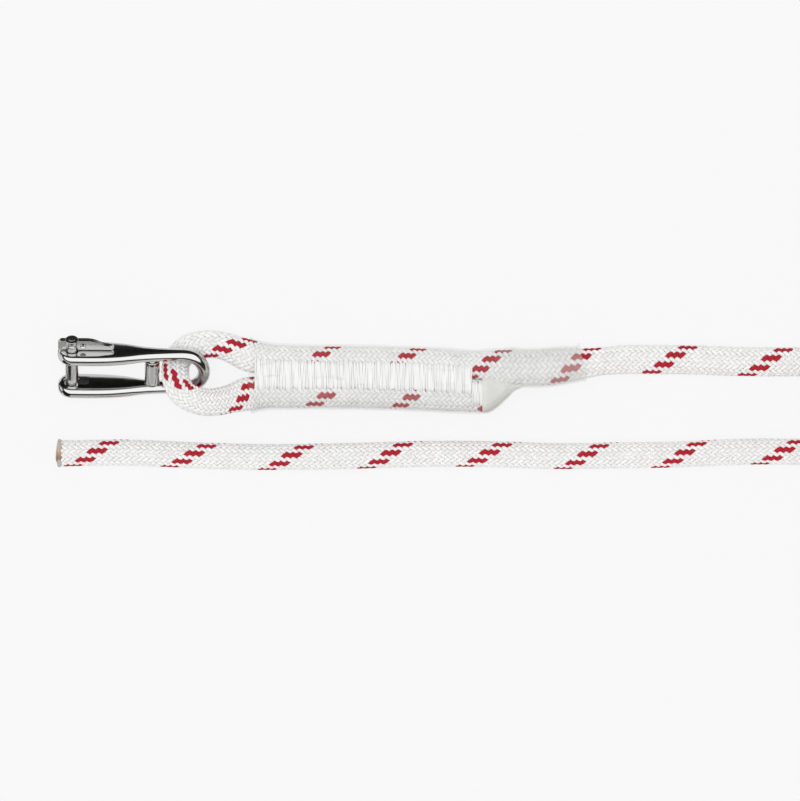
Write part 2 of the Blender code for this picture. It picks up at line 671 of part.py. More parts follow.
def main():
    clear_scene()
    steel = material("polished_steel", (0.62, 0.62, 0.61), 0.16, metallic=1.0)
    cover = material("rope_cover", (0.82, 0.82, 0.80), 0.75)
    core = material("rope_core", (0.86, 0.85, 0.80), 0.8)
    thread = material("stitch_thread", (0.88, 0.88, 0.86), 0.6)
    film = material("clear_sleeve", (0.95, 0.96, 0.97), 0.12, transmission=0.9)
    sealed = material("fused_end", (0.62, 0.50, 0.34), 0.55)
    strap = material("tie_strap", (0.04, 0.04, 0.045), 0.8)

    pin = shackle_frame()
    build_shackle_body(pin, steel)
    build_cross_bar(pin, steel)
    build_key_pin(pin, steel)
    build_eye(cover, core)
    build_stitching(thread)
    build_sleeve(film)
    build_tube("standing_run", RUN_ROUTE, cover)
    build_hank(cover)
    build_tie(strap)
    build_tube("tail_run", TAIL_ROUTE, cover)
    build_end_seal(sealed)


main()
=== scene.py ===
"""A ready-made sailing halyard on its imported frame: rope, sewn eye, clear sleeve and key-pin shackle.

Every length is in metres unless its name says otherwise. The rope's routes follow the frame's own points
to within about 0.7 mm.
"""

import math

import bmesh
import bpy
import numpy as np
from bpy.props import FloatProperty, FloatVectorProperty, IntProperty, PointerProperty
from mathutils import Euler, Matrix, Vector


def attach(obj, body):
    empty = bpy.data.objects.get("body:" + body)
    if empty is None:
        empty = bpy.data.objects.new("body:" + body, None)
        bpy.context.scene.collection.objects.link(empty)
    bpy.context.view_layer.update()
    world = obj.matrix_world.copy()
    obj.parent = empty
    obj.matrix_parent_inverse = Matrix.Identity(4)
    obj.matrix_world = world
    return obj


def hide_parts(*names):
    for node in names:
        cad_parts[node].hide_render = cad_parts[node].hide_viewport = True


bl_info = {
    "name": "Sailing halyard",
    "version": (1, 0, 0),
    "blender": (4, 5, 0),
    "location": "3D View > Sidebar > Halyard",
    "description": "Builds a ready-made halyard with a sewn eye and a key-pin shackle",
    "category": "Add Mesh",
}

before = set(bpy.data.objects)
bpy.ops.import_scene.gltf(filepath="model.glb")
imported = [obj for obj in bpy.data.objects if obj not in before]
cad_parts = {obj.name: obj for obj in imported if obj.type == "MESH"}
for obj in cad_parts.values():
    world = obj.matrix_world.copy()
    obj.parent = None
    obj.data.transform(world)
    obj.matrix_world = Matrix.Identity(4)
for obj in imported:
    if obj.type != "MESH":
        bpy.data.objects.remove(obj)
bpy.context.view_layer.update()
MM = 0.001
ROPE_RADIUS = 4.0 * MM
ROUTE_STEP = 0.4 * MM  # between two points of the rope's line

# The rope's route, in millimetres: from the cut end of the short leg, round the eye, to the hank
EYE_ROUTE = [
    (44.0, -7.1, 5.2), (33.8, -6.6, 5.15), (19.5, -5.95, 5.1), (5.0, -5.65, 5.1),
    (-9.0, -5.6, 5.1), (-14.8, -5.65, 5.1), (-18.5, -5.6, 5.15), (-22.0, -5.7, 5.3),
    (-24.8, -6.15, 5.65), (-27.6, -6.95, 6.3), (-30.8, -7.75, 7.3), (-36.0, -8.2, 9.2),
    (-40.2, -7.0, 10.4), (-43.2, -4.6, 10.7), (-44.4, -1.7, 9.8), (-44.6, 0.6, 7.75),
    (-44.3, 2.9, 5.75), (-42.7, 5.6, 5.15), (-39.6, 7.55, 5.2), (-36.4, 8.2, 5.3),
    (-33.2, 8.25, 5.35), (-30.5, 7.65, 5.35), (-27.6, 6.6, 5.25), (-24.8, 5.45, 5.2),
    (-22.0, 4.6, 5.15), (-18.5, 4.05, 5.1), (-14.8, 3.8, 5.1), (-9.0, 3.55, 5.1),
    (-4.0, 3.5, 5.1), (5.2, 3.45, 5.1), (19.5, 3.15, 5.1), (33.8, 2.5, 5.3),
    (40.0, 2.2, 5.5), (48.1, 1.9, 5.9), (53.5, 1.55, 6.1), (59.5, 1.6, 6.2),
    (65.0, 2.05, 6.2), (70.5, 2.65, 6.05), (73.8, 3.0, 5.7), (77.7, 3.45, 5.1),
]
RUN_ROUTE = [
    (78.6, 3.5, 4.95), (83.0, 3.85, 4.5), (90.0, 3.87, 4.2), (99.0, 3.9, 4.2),
    (109.0, 3.6, 4.2), (118.0, 3.3, 4.2), (133.0, 3.3, 4.1), (149.2, 3.3, 4.05),
]
TAIL_FROM, ROUTE_END = -78.0, 172.0  # along X: where the tail's line starts, and where both lines end
TAIL_ROUTE = [
    (-76.6, -22.85, 4.05), (-60.0, -22.65, 4.0), (-40.0, -23.4, 3.9),
    (-20.5, -23.9, 3.85), (0.0, -23.75, 3.8), (22.0, -23.15, 3.8), (45.0, -23.1, 3.8),
    (65.0, -23.65, 3.8), (82.0, -23.45, 3.8), (100.0, -23.15, 3.8),
    (118.0, -22.4, 3.8), (133.0, -22.4, 3.9), (149.2, -22.4, 4.05),
]
ARM_OUTLINE = [  # distance from the pin's axis, half width of the arm, in millimetres
    (0.0, 4.3), (3.0, 4.3), (6.5, 4.25), (11.5, 3.95), (16.5, 3.25),
    (20.0, 2.6), (23.5, 2.15), (27.5, 1.9), (31.7, 1.8),
]
ARM_END, BOW_FROM, BOW_AT = 4.05 * MM, 24.0 * MM, 31.7 * MM  # an arm rounds into the bow between the last two
CORNER_MOST = 0.96  # share of a section's half size that its corners take at most
BAR_AT, BAR_RADIUS, BAR_SPIGOT_RADIUS, BAR_SEAT = 22.9 * MM, 2.15 * MM, 1.4 * MM, 1.1 * MM
PIN_TOP, PIN_FOOT = 11.3 * MM, -8.8 * MM
NOSE_REACH, NOSE_HALF_WIDTH = 3.0 * MM, 0.95 * MM
KEY_SLOT_FROM, KEY_SLOT_REACH, KEY_SLOT_HALF_WIDTH = 0.4 * MM, 5.0 * MM, 1.25 * MM
HANDLE_HALF_THICK, HANDLE_HOLE_AT, HANDLE_HOLE_RADIUS = 0.7 * MM, 3.2 * MM, 0.6 * MM
FIT, GAP = 0.25 * MM, 0.3 * MM  # between two pieces of metal, and between the rope and its sleeve

# A span is four places along X: where a change begins and is full, and where it starts to end and is gone
SEWN = np.array([-30.5, -22.5, 33.0, 45.0]) * MM
SEWN_SPREAD, SEWN_FLAT = 0.22 * MM, 0.92  # how much wider sewn rope is, and what share of its height is left
THROAT_AT, THROAT_REACH = -23.5 * MM, 4.0 * MM
THROAT_SPREAD = np.array([0.7, 0.5]) * MM  # of the short leg and of the long one
SPLICE = np.array([39.0, 53.0, 63.0, 78.5]) * MM
SPLICE_SWELL = 1.15 * MM
CROWN_AT, CROWN_PINCH, CROWN_PINCH_REACH = 29.35 * MM, 0.13, 3.5 * MM  # where the bow squeezes the rope
RUN_SWELL, TAIL_SLIM = 0.22 * MM, 0.24 * MM  # the run is fuller than the rope's plain size, the tail slimmer
RUN_FROM, RUN_OVER = 76.0 * MM, 8.0 * MM
TAIL_SLIM_TO, TAIL_SLIM_OVER = 130.0 * MM, 19.0 * MM
TAIL_FLARE, TAIL_FLARE_REACH = 0.15 * MM, 2.5 * MM  # at the sealed end
SLEEVE_MERGE, SLEEVE_MERGE_LATE = (42.5 * MM, 54.5 * MM), 1.35
TENT = np.array([43.6, 44.8, 52.5, 56.0]) * MM  # where the film spans the air past the cut end
FILM_LOWEST = 0.03 * MM  # above the ground
CUT_LEG = np.array([43.0, 44.5, 47.0, 49.5, 52.0, 54.0]) * MM  # where the short leg's core tapers out
CUT_LEG_SIDES = 24
STITCH_RISE = 0.45 * MM

# Near and far ends of the sewing along Y, from the legs' centres: over both legs, and over the short one
THREAD_ENDS = np.array([(0.1, 1.0), (4.6, -2.1)]) * MM
BED_ENDS = np.array([(-0.6, 1.7), (4.2, -1.4)]) * MM
BED_SINK, BED_EDGE = 0.14 * MM, 0.5 * MM  # how far the bed lies below the threads, and its bevel

END_SEAL_AT, END_SEAL_HEIGHT, END_SEAL_SIDES = -78.5 * MM, 4.1 * MM, 64
END_SEAL_PROFILE = [  # share of the rim's reach, and millimetres along X
    (0.02, -0.24), (0.3, -0.20), (0.5, -0.10), (0.7, 0.06), (0.84, 0.20), (0.93, 0.30), (0.98, 0.42),
    (1.0, 0.62), (0.99, 0.90), (0.95, 1.22), (0.90, 1.45), (0.80, 1.55),
]
BROWN_HEIGHT, BROWN_TALLER = 5.3 * MM, 1.6  # the middle of its browned core, which is taller than wide
STRAP_WEAVE = 0.9, 0.6  # pitch of its weave along it and across it, in millimetres as its UVs are
EXIT = Vector((78.15, 3.48, 5.03)) * MM
SHACKLE_TILT, SHACKLE_YAW = math.radians(40), math.radians(-0.8)
PIN_AT = Vector((-74.1, 1.0, 7.75)) * MM
HANK_CENTRE = Vector((247.0, -9.5, 0.0)) * MM
HANK_HEIGHT, HANK_HALF_WIDTH = 66.0 * MM, 52.0 * MM
HANK_WAIST, HANK_WAIST_REACH = 0.06, 17.0 * MM  # how much the strap draws it in, and how far along X
HANK_PROP, HANK_LEVEL = 8.0 * MM, 12.0 * MM  # how far its near end is lifted, and from how far off its middle
HANK_LOWEST = 3.75 * MM
HANK_UNEVEN = 0.35 * MM, 0.15 * MM  # how much its layers wander sideways and in height
HANK_FLATTENED = 0.07  # how much flatter than round its rope is
HANK_STEPS = 30  # points in one quarter of a turn
SLOT_FROM, SLOT_HEIGHT = 149.2 * MM, 4.05 * MM  # where both rope ends pass under its near end

# In quarters of a turn: where the rope joins the hank and leaves it, where it moves on to the next turn, and
# the same along the top layer. To cross the top it rises, passes two places with their columns, and lands
HANK_JOINS, HANK_LEAVES = 0.40, 2.08
HANK_CLIMB, HANK_TOP_CLIMB = (4.02, 4.40), (3.1, 3.9)
HANK_CROSSING = 1.04, (1.26, 2.45), (1.74, 0.55), 1.96

# The free rope's tube follows the braid's own lines as far as SHARED_TO. It is thin inside the braid and has
# its full size past FULL_FROM
SHARED_TO, FULL_FROM, FULL_OVER = 149.0 * MM, 163.0 * MM, 6.0 * MM
THIN_ENDS = 0.12, 0.27  # lengths from its two ends within which it can be thin
CORE_SHARE, FREE_SIDES, FREE_STEP = 0.72, 14, 5.0 * MM

# The braid, with lengths in crossings: each float's reach and width, and how steeply it falls away to its
# ends and sides. The tracer's floats are fuller and cover their neighbours' edges
ROWS = 16  # rows of floats in one lead, and floats in one row
CELLS = 32  # crossings in one lead, and in one turn
FLOAT_REACH, FLOAT_WIDTH, FLOAT_FALL = 1.35, 0.97, (4.5, 3.2)
BED_DEPTH = 1.45  # of the tube that closes the gaps, in depths of the groove
TRACER_FULLER, TRACER_PROUD = 0.16, 0.3

# Where the braid has gone round once more, as (X in mm, leads from the first)
EYE_TURNS_SHORT_LEG = [(48.4, -1), (23.9, 0), (-0.3, 1), (-25.3, 2)]
EYE_TURNS_LONG_LEG = [
    (-29.0, 4), (-4.0, 5), (20.4, 6), (44.5, 7), (70.0, 8), (96.9, 9), (124.2, 10), (152.0, 11),
    (180.3, 12),
]
TAIL_TURNS = [
    (-68.2, 0), (-40.5, 1), (-12.7, 2), (15.6, 3), (43.8, 4), (71.7, 5), (99.5, 6),
    (128.0, 7), (156.2, 8), (184.4, 9),
]
CROWN_TURN = -3.75, 3  # the same at the crown, by Y

# Lead, and how far the braid is turned there, in degrees: towards the inside of the eye
EYE_TWIST = [
    (-1, 4), (2, 4), (3, 18), (4, -15), (8, -14), (9.5, 0), (12, 0),
]
TAIL_TWIST = [(0, 7)]

# The picture: its size in pixels, their scale, and the pixel that the frame's origin falls on
PICTURE, PIXELS_PER_MM, ORIGIN_PIXEL = (800, 801), 3.5, (331.75, 373.25)
FLOOR_REACH, FLOOR_AT = 12.0, -0.15 * MM
LAMP_WAY, LAMP_SPREAD = Vector((0.10, 0.0, -1.0)), math.radians(40)

# Boards that only polished metal shows, as they stand on the floor: from (X, Y) to (X, Y), and height
DARK_BOARDS = [
    ((-0.200, 0.042), (0.120, 0.042), 0.020),
    ((-0.200, 0.011), (-0.047, 0.011), 0.006),
    ((-0.084, -0.010), (-0.084, 0.012), 0.0035),
    ((-0.100, -0.012), (-0.080, -0.034), 0.016),
]


class HalyardRope(bpy.types.PropertyGroup):
    """Sizes and colours of the rope."""

    diameter: FloatProperty(
        name="Diameter", description="Outer diameter of the rope", default=0.008, unit="LENGTH"
    )
    lead: FloatProperty(
        name="Lead", description="Length in which a strand goes round once", default=0.0282, unit="LENGTH"
    )
    relief: FloatProperty(
        name="Relief", description="Depth of the groove between two strands",
        default=0.00046, precision=5, unit="LENGTH",
    )
    steps: IntProperty(
        name="Steps", description="Places along each lead at which the route is read", default=64, min=8
    )
    cover: FloatVectorProperty(
        name="Cover", description="Colour of the plain strands",
        default=(0.925, 0.92, 0.915), subtype="COLOR",
    )
    tracer: FloatVectorProperty(
        name="Tracer", description="Colour of the tracer strands",
        default=(0.44, 0.012, 0.026), subtype="COLOR",
    )
    tracer_strands: IntProperty(
        name="Tracer strands", description="Strands side by side that carry the tracer",
        default=3, min=0, max=16,
    )


class HalyardHank(bpy.types.PropertyGroup):
    """Sizes of the put-away length."""

    half_straight: FloatProperty(
        name="Half straight", description="From the middle of the hank to where its folds begin",
        default=0.046, unit="LENGTH",
    )
    inner: FloatProperty(
        name="Inner fold", description="Radius of the innermost fold, to the rope's middle",
        default=0.024, unit="LENGTH",
    )
    pitch: FloatProperty(
        name="Layer height", description="From one layer of rope to the next",
        default=0.00726, precision=5, unit="LENGTH",
    )
    layers: IntProperty(name="Layers", description="Layers of rope in the hank", default=9, min=2)


class HalyardSewing(bpy.types.PropertyGroup):
    """The sewn part of the eye."""

    first: FloatProperty(
        name="First", description="Where the sewing begins, along X", default=-0.0218, unit="LENGTH"
    )
    last: FloatProperty(
        name="Last", description="Where the sewing ends, along X", default=0.0432, unit="LENGTH"
    )
    narrow: FloatProperty(
        name="Narrow from", description="Where it begins to hold the short leg alone, along X",
        default=0.0399, unit="LENGTH",
    )
    pitch: FloatProperty(
        name="Pitch", description="From one thread to the next", default=0.00044, precision=5, unit="LENGTH"
    )
    thread: FloatProperty(
        name="Thread", description="Thickness of the thread", default=0.0004, precision=5, unit="LENGTH"
    )
    sag: FloatProperty(
        name="Sag", description="How deep the ends of a thread dive into the rope",
        default=0.0008, precision=5, unit="LENGTH",
    )
    raggedness: FloatProperty(
        name="Raggedness", description="How unevenly the threads end, as a share of their length",
        default=0.05, subtype="FACTOR",
    )


class HalyardSleeve(bpy.types.PropertyGroup):
    """The clear film over the sewn part."""

    first: FloatProperty(
        name="First", description="Edge of the sleeve at the eye, along X", default=-0.0234, unit="LENGTH"
    )
    last: FloatProperty(
        name="Last", description="Edge of the sleeve at the run, along X", default=0.0726, unit="LENGTH"
    )
    wall: FloatProperty(
        name="Wall", description="Thickness of the film", default=0.00035, precision=5, unit="LENGTH"
    )


class HalyardSeal(bpy.types.PropertyGroup):
    """The heat-cut end of the tail."""

    radius: FloatProperty(
        name="Radius", description="Reach of the flared rim", default=0.00406, precision=5, unit="LENGTH"
    )
    core: FloatProperty(
        name="Core", description="Half width of the browned core",
        default=0.0024, precision=5, unit="LENGTH",
    )
    colour: FloatVectorProperty(
        name="Colour", description="Colour of the fused core", default=(0.60, 0.44, 0.34), subtype="COLOR"
    )
    brown: FloatVectorProperty(
        name="Brown", description="Colour where the core is browned",
        default=(0.24, 0.13, 0.075), subtype="COLOR",
    )


class HalyardStrap(bpy.types.PropertyGroup):
    """The strap that ties the hank."""

    width: FloatProperty(name="Width", description="Width of the strap", default=0.016, unit="LENGTH")
    thick: FloatProperty(
        name="Thickness", description="Thickness of the strap", default=0.0014, precision=5, unit="LENGTH"
    )
    colour: FloatVectorProperty(
        name="Colour", description="Colour of the strap", default=(0.030, 0.030, 0.034), subtype="COLOR"
    )


class HalyardShackle(bpy.types.PropertyGroup):
    """Sizes of the shackle's metal."""

    clevis: FloatProperty(
        name="Clevis", description="Width between the arms", default=0.0087, precision=5, unit="LENGTH"
    )
    arm_thick: FloatProperty(
        name="Arm thickness", description="Thickness of an arm along the pin",
        default=0.0033, precision=5, unit="LENGTH",
    )
    arm_corner: FloatProperty(
        name="Arm rounding", description="Rounding of an arm's edges",
        default=0.0013, precision=5, unit="LENGTH",
    )
    bow_wire: FloatProperty(
        name="Bow", description="Thickness of the round bow", default=0.0036, precision=5, unit="LENGTH"
    )
    pin_radius: FloatProperty(
        name="Pin radius", description="Radius of the key pin", default=0.00187, precision=5, unit="LENGTH"
    )
    countersink: FloatProperty(
        name="Countersink", description="Radius of the countersink in the lower arm",
        default=0.0025, precision=5, unit="LENGTH",
    )


class HalyardStage(bpy.types.PropertyGroup):
    """The view and its light."""

    width: FloatProperty(
        name="Width shown", description="Width of the floor that the picture shows",
        default=PICTURE[0] / PIXELS_PER_MM * MM, unit="LENGTH",
    )
    lens: FloatProperty(name="Lens", description="Focal length of the camera in millimetres", default=800.0)
    floor: FloatVectorProperty(
        name="Floor", description="Colour of the floor", default=(0.939, 0.939, 0.939), subtype="COLOR"
    )
    evenness: FloatProperty(
        name="Evenness", description="How much of the floor's tone doesn't depend on the light on it",
        default=0.90, subtype="FACTOR",
    )
    sky: FloatProperty(name="Sky", description="Strength of the soft light from all round", default=0.60)
    lamp: FloatProperty(
        name="Lamp", description="Share of the light on the floor that the lamp gives", default=0.45
    )


def curve_through(places, values, at):
    """A natural cubic through (places, values), read at these places."""
    x, y, at = (np.asarray(v, float) for v in (places, values, at))
    h = np.diff(x)
    system, right = np.eye(len(x)), np.zeros((len(x), *y.shape[1:]))
    for i in range(1, len(x) - 1):
        system[i, i - 1:i + 2] = h[i - 1], 2 * (h[i - 1] + h[i]), h[i]
        right[i] = 6 * ((y[i + 1] - y[i]) / h[i] - (y[i] - y[i - 1]) / h[i - 1])
    bend = np.linalg.solve(system, right)
    i = np.clip(np.searchsorted(x, at, side="right") - 1, 0, len(h) - 1)
    step = h[i]
    before, after = x[i + 1] - at, at - x[i]
    if y.ndim > 1:
        step, before, after = step[:, None], before[:, None], after[:, None]
    return (
        (bend[i] * before**3 + bend[i + 1] * after**3) / (6 * step)
        + (y[i] / step - bend[i] * step / 6) * before
        + (y[i + 1] / step - bend[i + 1] * step / 6) * after
    )


def lengths_of(line):
    """How far along a line each of its points is."""
    return np.concatenate([[0.0], np.cumsum(np.linalg.norm(np.diff(line, axis=0), axis=1))])


def smooth_line(route_mm, step):
    """Points about this far apart on a smooth curve through a route given in millimetres."""
    route = np.asarray(route_mm, float) * MM
    knots = lengths_of(route)
    at = np.linspace(0, knots[-1], max(2, round(knots[-1] / step) + 1))
    return curve_through(knots, route, at)


def resample(line, step):
    """The same line with evenly spaced points."""
    along = lengths_of(line)
    at = np.linspace(0, along[-1], max(2, round(along[-1] / step) + 1))
    return np.stack([np.interp(at, along, line[:, k]) for k in range(3)], axis=1)


def smooth_step(value):
    """From 0 to 1 with level ends; less than 0 gives 0, and more than 1 gives 1."""
    value = np.clip(value, 0.0, 1.0)
    return value * value * (3 - 2 * value)


def bell(x, centre, reach):
    """1 at the centre, falling away to both sides."""
    return np.exp(-((x - centre) / reach) ** 2)


def span(x, edges):
    """From 0 to 1 and back to 0 over the four edges of a span."""
    start, full, leave, end = edges
    return smooth_step((x - start) / (full - start)) * smooth_step((end - x) / (end - leave))


def half_width(x, on_long):
    """Half of the sewn rope's width at this X, on the long leg (1) or on the short one (0)."""
    spread = THROAT_SPREAD[0] + (THROAT_SPREAD[1] - THROAT_SPREAD[0]) * on_long
    run = RUN_SWELL * smooth_step((x - RUN_FROM) / RUN_OVER) * on_long
    sewn = SEWN_SPREAD * span(x, SEWN) + spread * bell(x, THROAT_AT, THROAT_REACH)
    return sewn + SPLICE_SWELL * span(x, SPLICE) * on_long + run + ROPE_RADIUS


def half_height(x, on_long):
    """Half of its height: sewn rope is flatter."""
    run = RUN_SWELL / 2 * smooth_step((x - RUN_FROM) / RUN_OVER) * on_long
    full = ROPE_RADIUS + SPLICE_SWELL * span(x, SPLICE) * on_long + run
    return full * (1 - (1 - SEWN_FLAT) * span(x, SEWN))


def frames_along(line):
    """Unit upward and sideways vectors, square to a line that is nowhere upright."""
    tangent = np.gradient(line, axis=0)
    tangent /= np.linalg.norm(tangent, axis=1)[:, None]
    side = np.cross(tangent, (0.0, 0.0, 1.0))
    side /= np.linalg.norm(side, axis=1)[:, None]
    return np.cross(side, tangent), side


def put(name, mesh, finish, body, slot, *stands_for):
    """Link a finished mesh as a piece that rides on a body and stands for CAD nodes."""
    made = bpy.data.objects.new(name, mesh)
    bpy.context.scene.collection.objects.link(made)
    if finish is not None:
        mesh.materials.clear()
        mesh.materials.append(finish)
    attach(made, body)
    if stands_for:
        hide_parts(*stands_for)


def skin(rings, loop=False, uv=None):
    """A closed mesh from rings of equally many points, with UVs from uv(i, j) where it is given."""
    rings = np.asarray(rings, float)
    count, around = rings.shape[:2]
    bm = bmesh.new()
    rows = [[bm.verts.new(p) for p in ring] for ring in rings]
    layer = bm.loops.layers.uv.new("UVMap") if uv else None
    for i in range(count if loop else count - 1):
        near, far = rows[i], rows[(i + 1) % count]
        for j in range(around):
            k = (j + 1) % around
            face = bm.faces.new((near[j], near[k], far[k], far[j]))
            if layer:
                for corner, place in zip(face.loops, ((i, j), (i, j + 1), (i + 1, j + 1), (i + 1, j))):
                    corner[layer].uv = uv(*place)
    if not loop:
        bm.faces.new(rows[0])
        bm.faces.new(rows[-1])
    return bm


def finished(bm, name, smooth_below=40):
    """Turn a bmesh into a mesh with faces pointing out and smooth curves."""
    bm.normal_update()
    bmesh.ops.recalc_face_normals(bm, faces=bm.faces)
    if bm.calc_volume(signed=True) < 0:
        bmesh.ops.reverse_faces(bm, faces=bm.faces)
    mesh = bpy.data.meshes.new(name)
    bm.to_mesh(mesh)
    bm.free()
    mesh.shade_smooth()
    mesh.set_sharp_from_angle(angle=math.radians(smooth_below))
    return mesh


def round_rings(line, radius, sides, squash):
    """Round sections along a line, each with its own radius and with its height squashed."""
    up, side = frames_along(line)
    angles = np.arange(sides) * 2 * math.pi / sides
    upward = (squash[:, None] * up)[:, None] * np.cos(angles)[None, :, None]
    return line[:, None] + radius[:, None, None] * (upward + side[:, None] * np.sin(angles)[None, :, None])


def rounded_rectangle(half_wide, half_high, corner, steps):
    """Points round a rectangle about (0, 0), with this many on each of its round corners."""
    points = []
    for quarter in range(4):
        across = (half_wide - corner) * (1 if quarter in (0, 3) else -1)
        up = (half_high - corner) * (1 if quarter in (0, 1) else -1)
        turn = np.linspace(quarter, quarter + 1, steps) * math.pi / 2
        points += [(across + corner * math.cos(a), up + corner * math.sin(a)) for a in turn]
    return points


def write_values(mesh, label, values, domain="POINT"):
    """Store one number for each point or face of a mesh."""
    layer = mesh.attributes.new(label, "FLOAT", domain)
    layer.data.foreach_set("value", np.asarray(values, np.float32).ravel())


def drop_attributes(mesh, *labels):
    """Remove the attributes that only the node tree needed."""
    for label in labels:
        if label in mesh.attributes:
            mesh.attributes.remove(mesh.attributes[label])


class Wire:
    """A number on a node tree's wire. Arithmetic on it adds Math nodes."""

    def __init__(self, tree, socket):
        self.tree, self.socket = tree, socket

    def math(self, operation, *others):
        made = self.tree.nodes.new("ShaderNodeMath")
        made.operation = operation
        for socket, value in zip(made.inputs, (self, *others)):
            feed(self.tree, socket, value)
        return Wire(self.tree, made.outputs[0])

    def __add__(self, other):
        return self.math("ADD", other)

    def __sub__(self, other):
        return self.math("SUBTRACT", other)

    def __mul__(self, other):
        return self.math("MULTIPLY", other)

    def __truediv__(self, other):
        return self.math("DIVIDE", other)

    def floor(self):
        return self.math("FLOOR")

    def wrap(self, other):
        return self.math("FLOORED_MODULO", other)

    def power(self, other):
        return self.math("ABSOLUTE").math("POWER", other)

    def below(self, other):
        return self.math("LESS_THAN", other)


def feed(tree, socket, value):
    """Link a wire or a socket into an input, or set the input's own value."""
    if isinstance(value, Wire):
        tree.links.new(value.socket, socket)
    elif isinstance(value, bpy.types.NodeSocket):
        tree.links.new(value, socket)
    elif value is not None:
        socket.default_value = value


def node(tree, kind, settings=(), **inputs):
    """Add a node with these settings; inputs are named with underscores for spaces."""
    made = tree.nodes.new(kind)
    for name, value in dict(settings).items():
        setattr(made, name, value)
    for name, value in inputs.items():
        feed(tree, made.inputs[name.replace("_", " ")], value)
    return made


def new_tree(name, kind, inputs, outputs=()):
    """A node group with named sockets: {name: (type, default)} and [(name, type)].

    Returns the tree, a function that reads one of its inputs as a wire, and its output node.
    """
    tree = bpy.data.node_groups.new(name, kind)
    if kind == "GeometryNodeTree":
        tree.interface.new_socket("Geometry", in_out="INPUT", socket_type="NodeSocketGeometry")
        tree.interface.new_socket("Geometry", in_out="OUTPUT", socket_type="NodeSocketGeometry")
    for label, (kind_of, default) in inputs.items():
        socket = tree.interface.new_socket(label, in_out="INPUT", socket_type="NodeSocket" + kind_of)
        if default is not None:
            socket.default_value = default
    for label, kind_of in outputs:
        tree.interface.new_socket(label, in_out="OUTPUT", socket_type="NodeSocket" + kind_of)
    start, end = tree.nodes.new("NodeGroupInput"), tree.nodes.new("NodeGroupOutput")
    return tree, lambda label: Wire(tree, start.outputs[label]), end


def bake_nodes(source, tree, values, name):
    """Run a geometry tree on an object's mesh with these input values; return a plain mesh."""
    holder = bpy.data.objects.new(name + "_source", source)
    bpy.context.scene.collection.objects.link(holder)
    step = holder.modifiers.new("nodes", "NODES")
    step.node_group = tree
    for item in tree.interface.items_tree:
        if item.in_out == "INPUT" and item.name in values:
            step[item.identifier] = values[item.name]
    bpy.context.view_layer.update()
    result = holder.evaluated_get(bpy.context.evaluated_depsgraph_get())
    mesh = bpy.data.meshes.new_from_object(result)
    mesh.name = name
    bpy.data.objects.remove(holder)
    return mesh


def flat_position(tree, lead, angle, drop):
    """Rope space as a position: leads along, turns round, and how far below the crest."""
    return node(tree, "ShaderNodeCombineXYZ", X=lead, Y=angle, Z=drop).outputs[0]


def named(tree, name, data_type="FLOAT"):
    """The wire of an attribute by its name."""
    made = node(tree, "GeometryNodeInputNamedAttribute", {"data_type": data_type}, Name=name)
    return Wire(tree, made.outputs[0])


def position(tree):
    """The socket of each point's own place."""
    return tree.nodes.new("GeometryNodeInputPosition").outputs[0]


def components(tree, whole):
    """A vector's X, Y and Z as wires."""
    return [Wire(tree, socket) for socket in node(tree, "ShaderNodeSeparateXYZ", Vector=whole).outputs]


def vector(tree, operation, first, second=None, scale=None):
    """Arithmetic on vectors; scale is for SCALE alone."""
    made = node(tree, "ShaderNodeVectorMath", {"operation": operation})
    for socket, value in ((0, first), (1, second), (3, scale)):
        feed(tree, made.inputs[socket], value)
    return made.outputs[0]


def between(tree, share, first, second):
    """The vector at this share of the way from the first to the second, or beyond."""
    mixed = node(tree, "ShaderNodeMix", {"data_type": "VECTOR", "clamp_factor": False})
    for socket, value in ((0, share), (4, first), (5, second)):
        feed(tree, mixed.inputs[socket], value)
    return mixed.outputs[1]


def stored(tree, geometry, values, data_type="FLOAT", domain="POINT"):
    """The geometry with these named attributes."""
    for label, value in values.items():
        settings = {"data_type": data_type, "domain": domain}
        geometry = node(tree, "GeometryNodeStoreNamedAttribute", settings,
                        Geometry=geometry, Name=label, Value=value).outputs[0]
    return geometry


def sampled(tree, geometry, value, index, data_type="FLOAT_VECTOR"):
    """A value as it is at one point of this geometry."""
    settings = {"data_type": data_type, "domain": "POINT", "clamp": True}
    return node(tree, "GeometryNodeSampleIndex", settings,
                Geometry=geometry, Value=value, Index=index).outputs[0]


def copies(tree, points, shape):
    """The shape once for each point, with the point's attributes."""
    placed = node(tree, "GeometryNodeInstanceOnPoints", Points=points, Instance=shape)
    return node(tree, "GeometryNodeRealizeInstances", Geometry=placed.outputs[0]).outputs[0]


def moved(tree, geometry, place):
    """The geometry with its points set to these places."""
    return node(tree, "GeometryNodeSetPosition", Geometry=geometry, Position=place).outputs[0]


def put_out(tree, end, geometry, material):
    """End the tree: shade smooth, make all of it real and set the material."""
    soft = node(tree, "GeometryNodeSetShadeSmooth", Geometry=geometry).outputs[0]
    real = node(tree, "GeometryNodeRealizeInstances", Geometry=soft).outputs[0]
    coated = node(tree, "GeometryNodeSetMaterial", Geometry=real, Material=material).outputs[0]
    tree.links.new(coated, end.inputs[0])


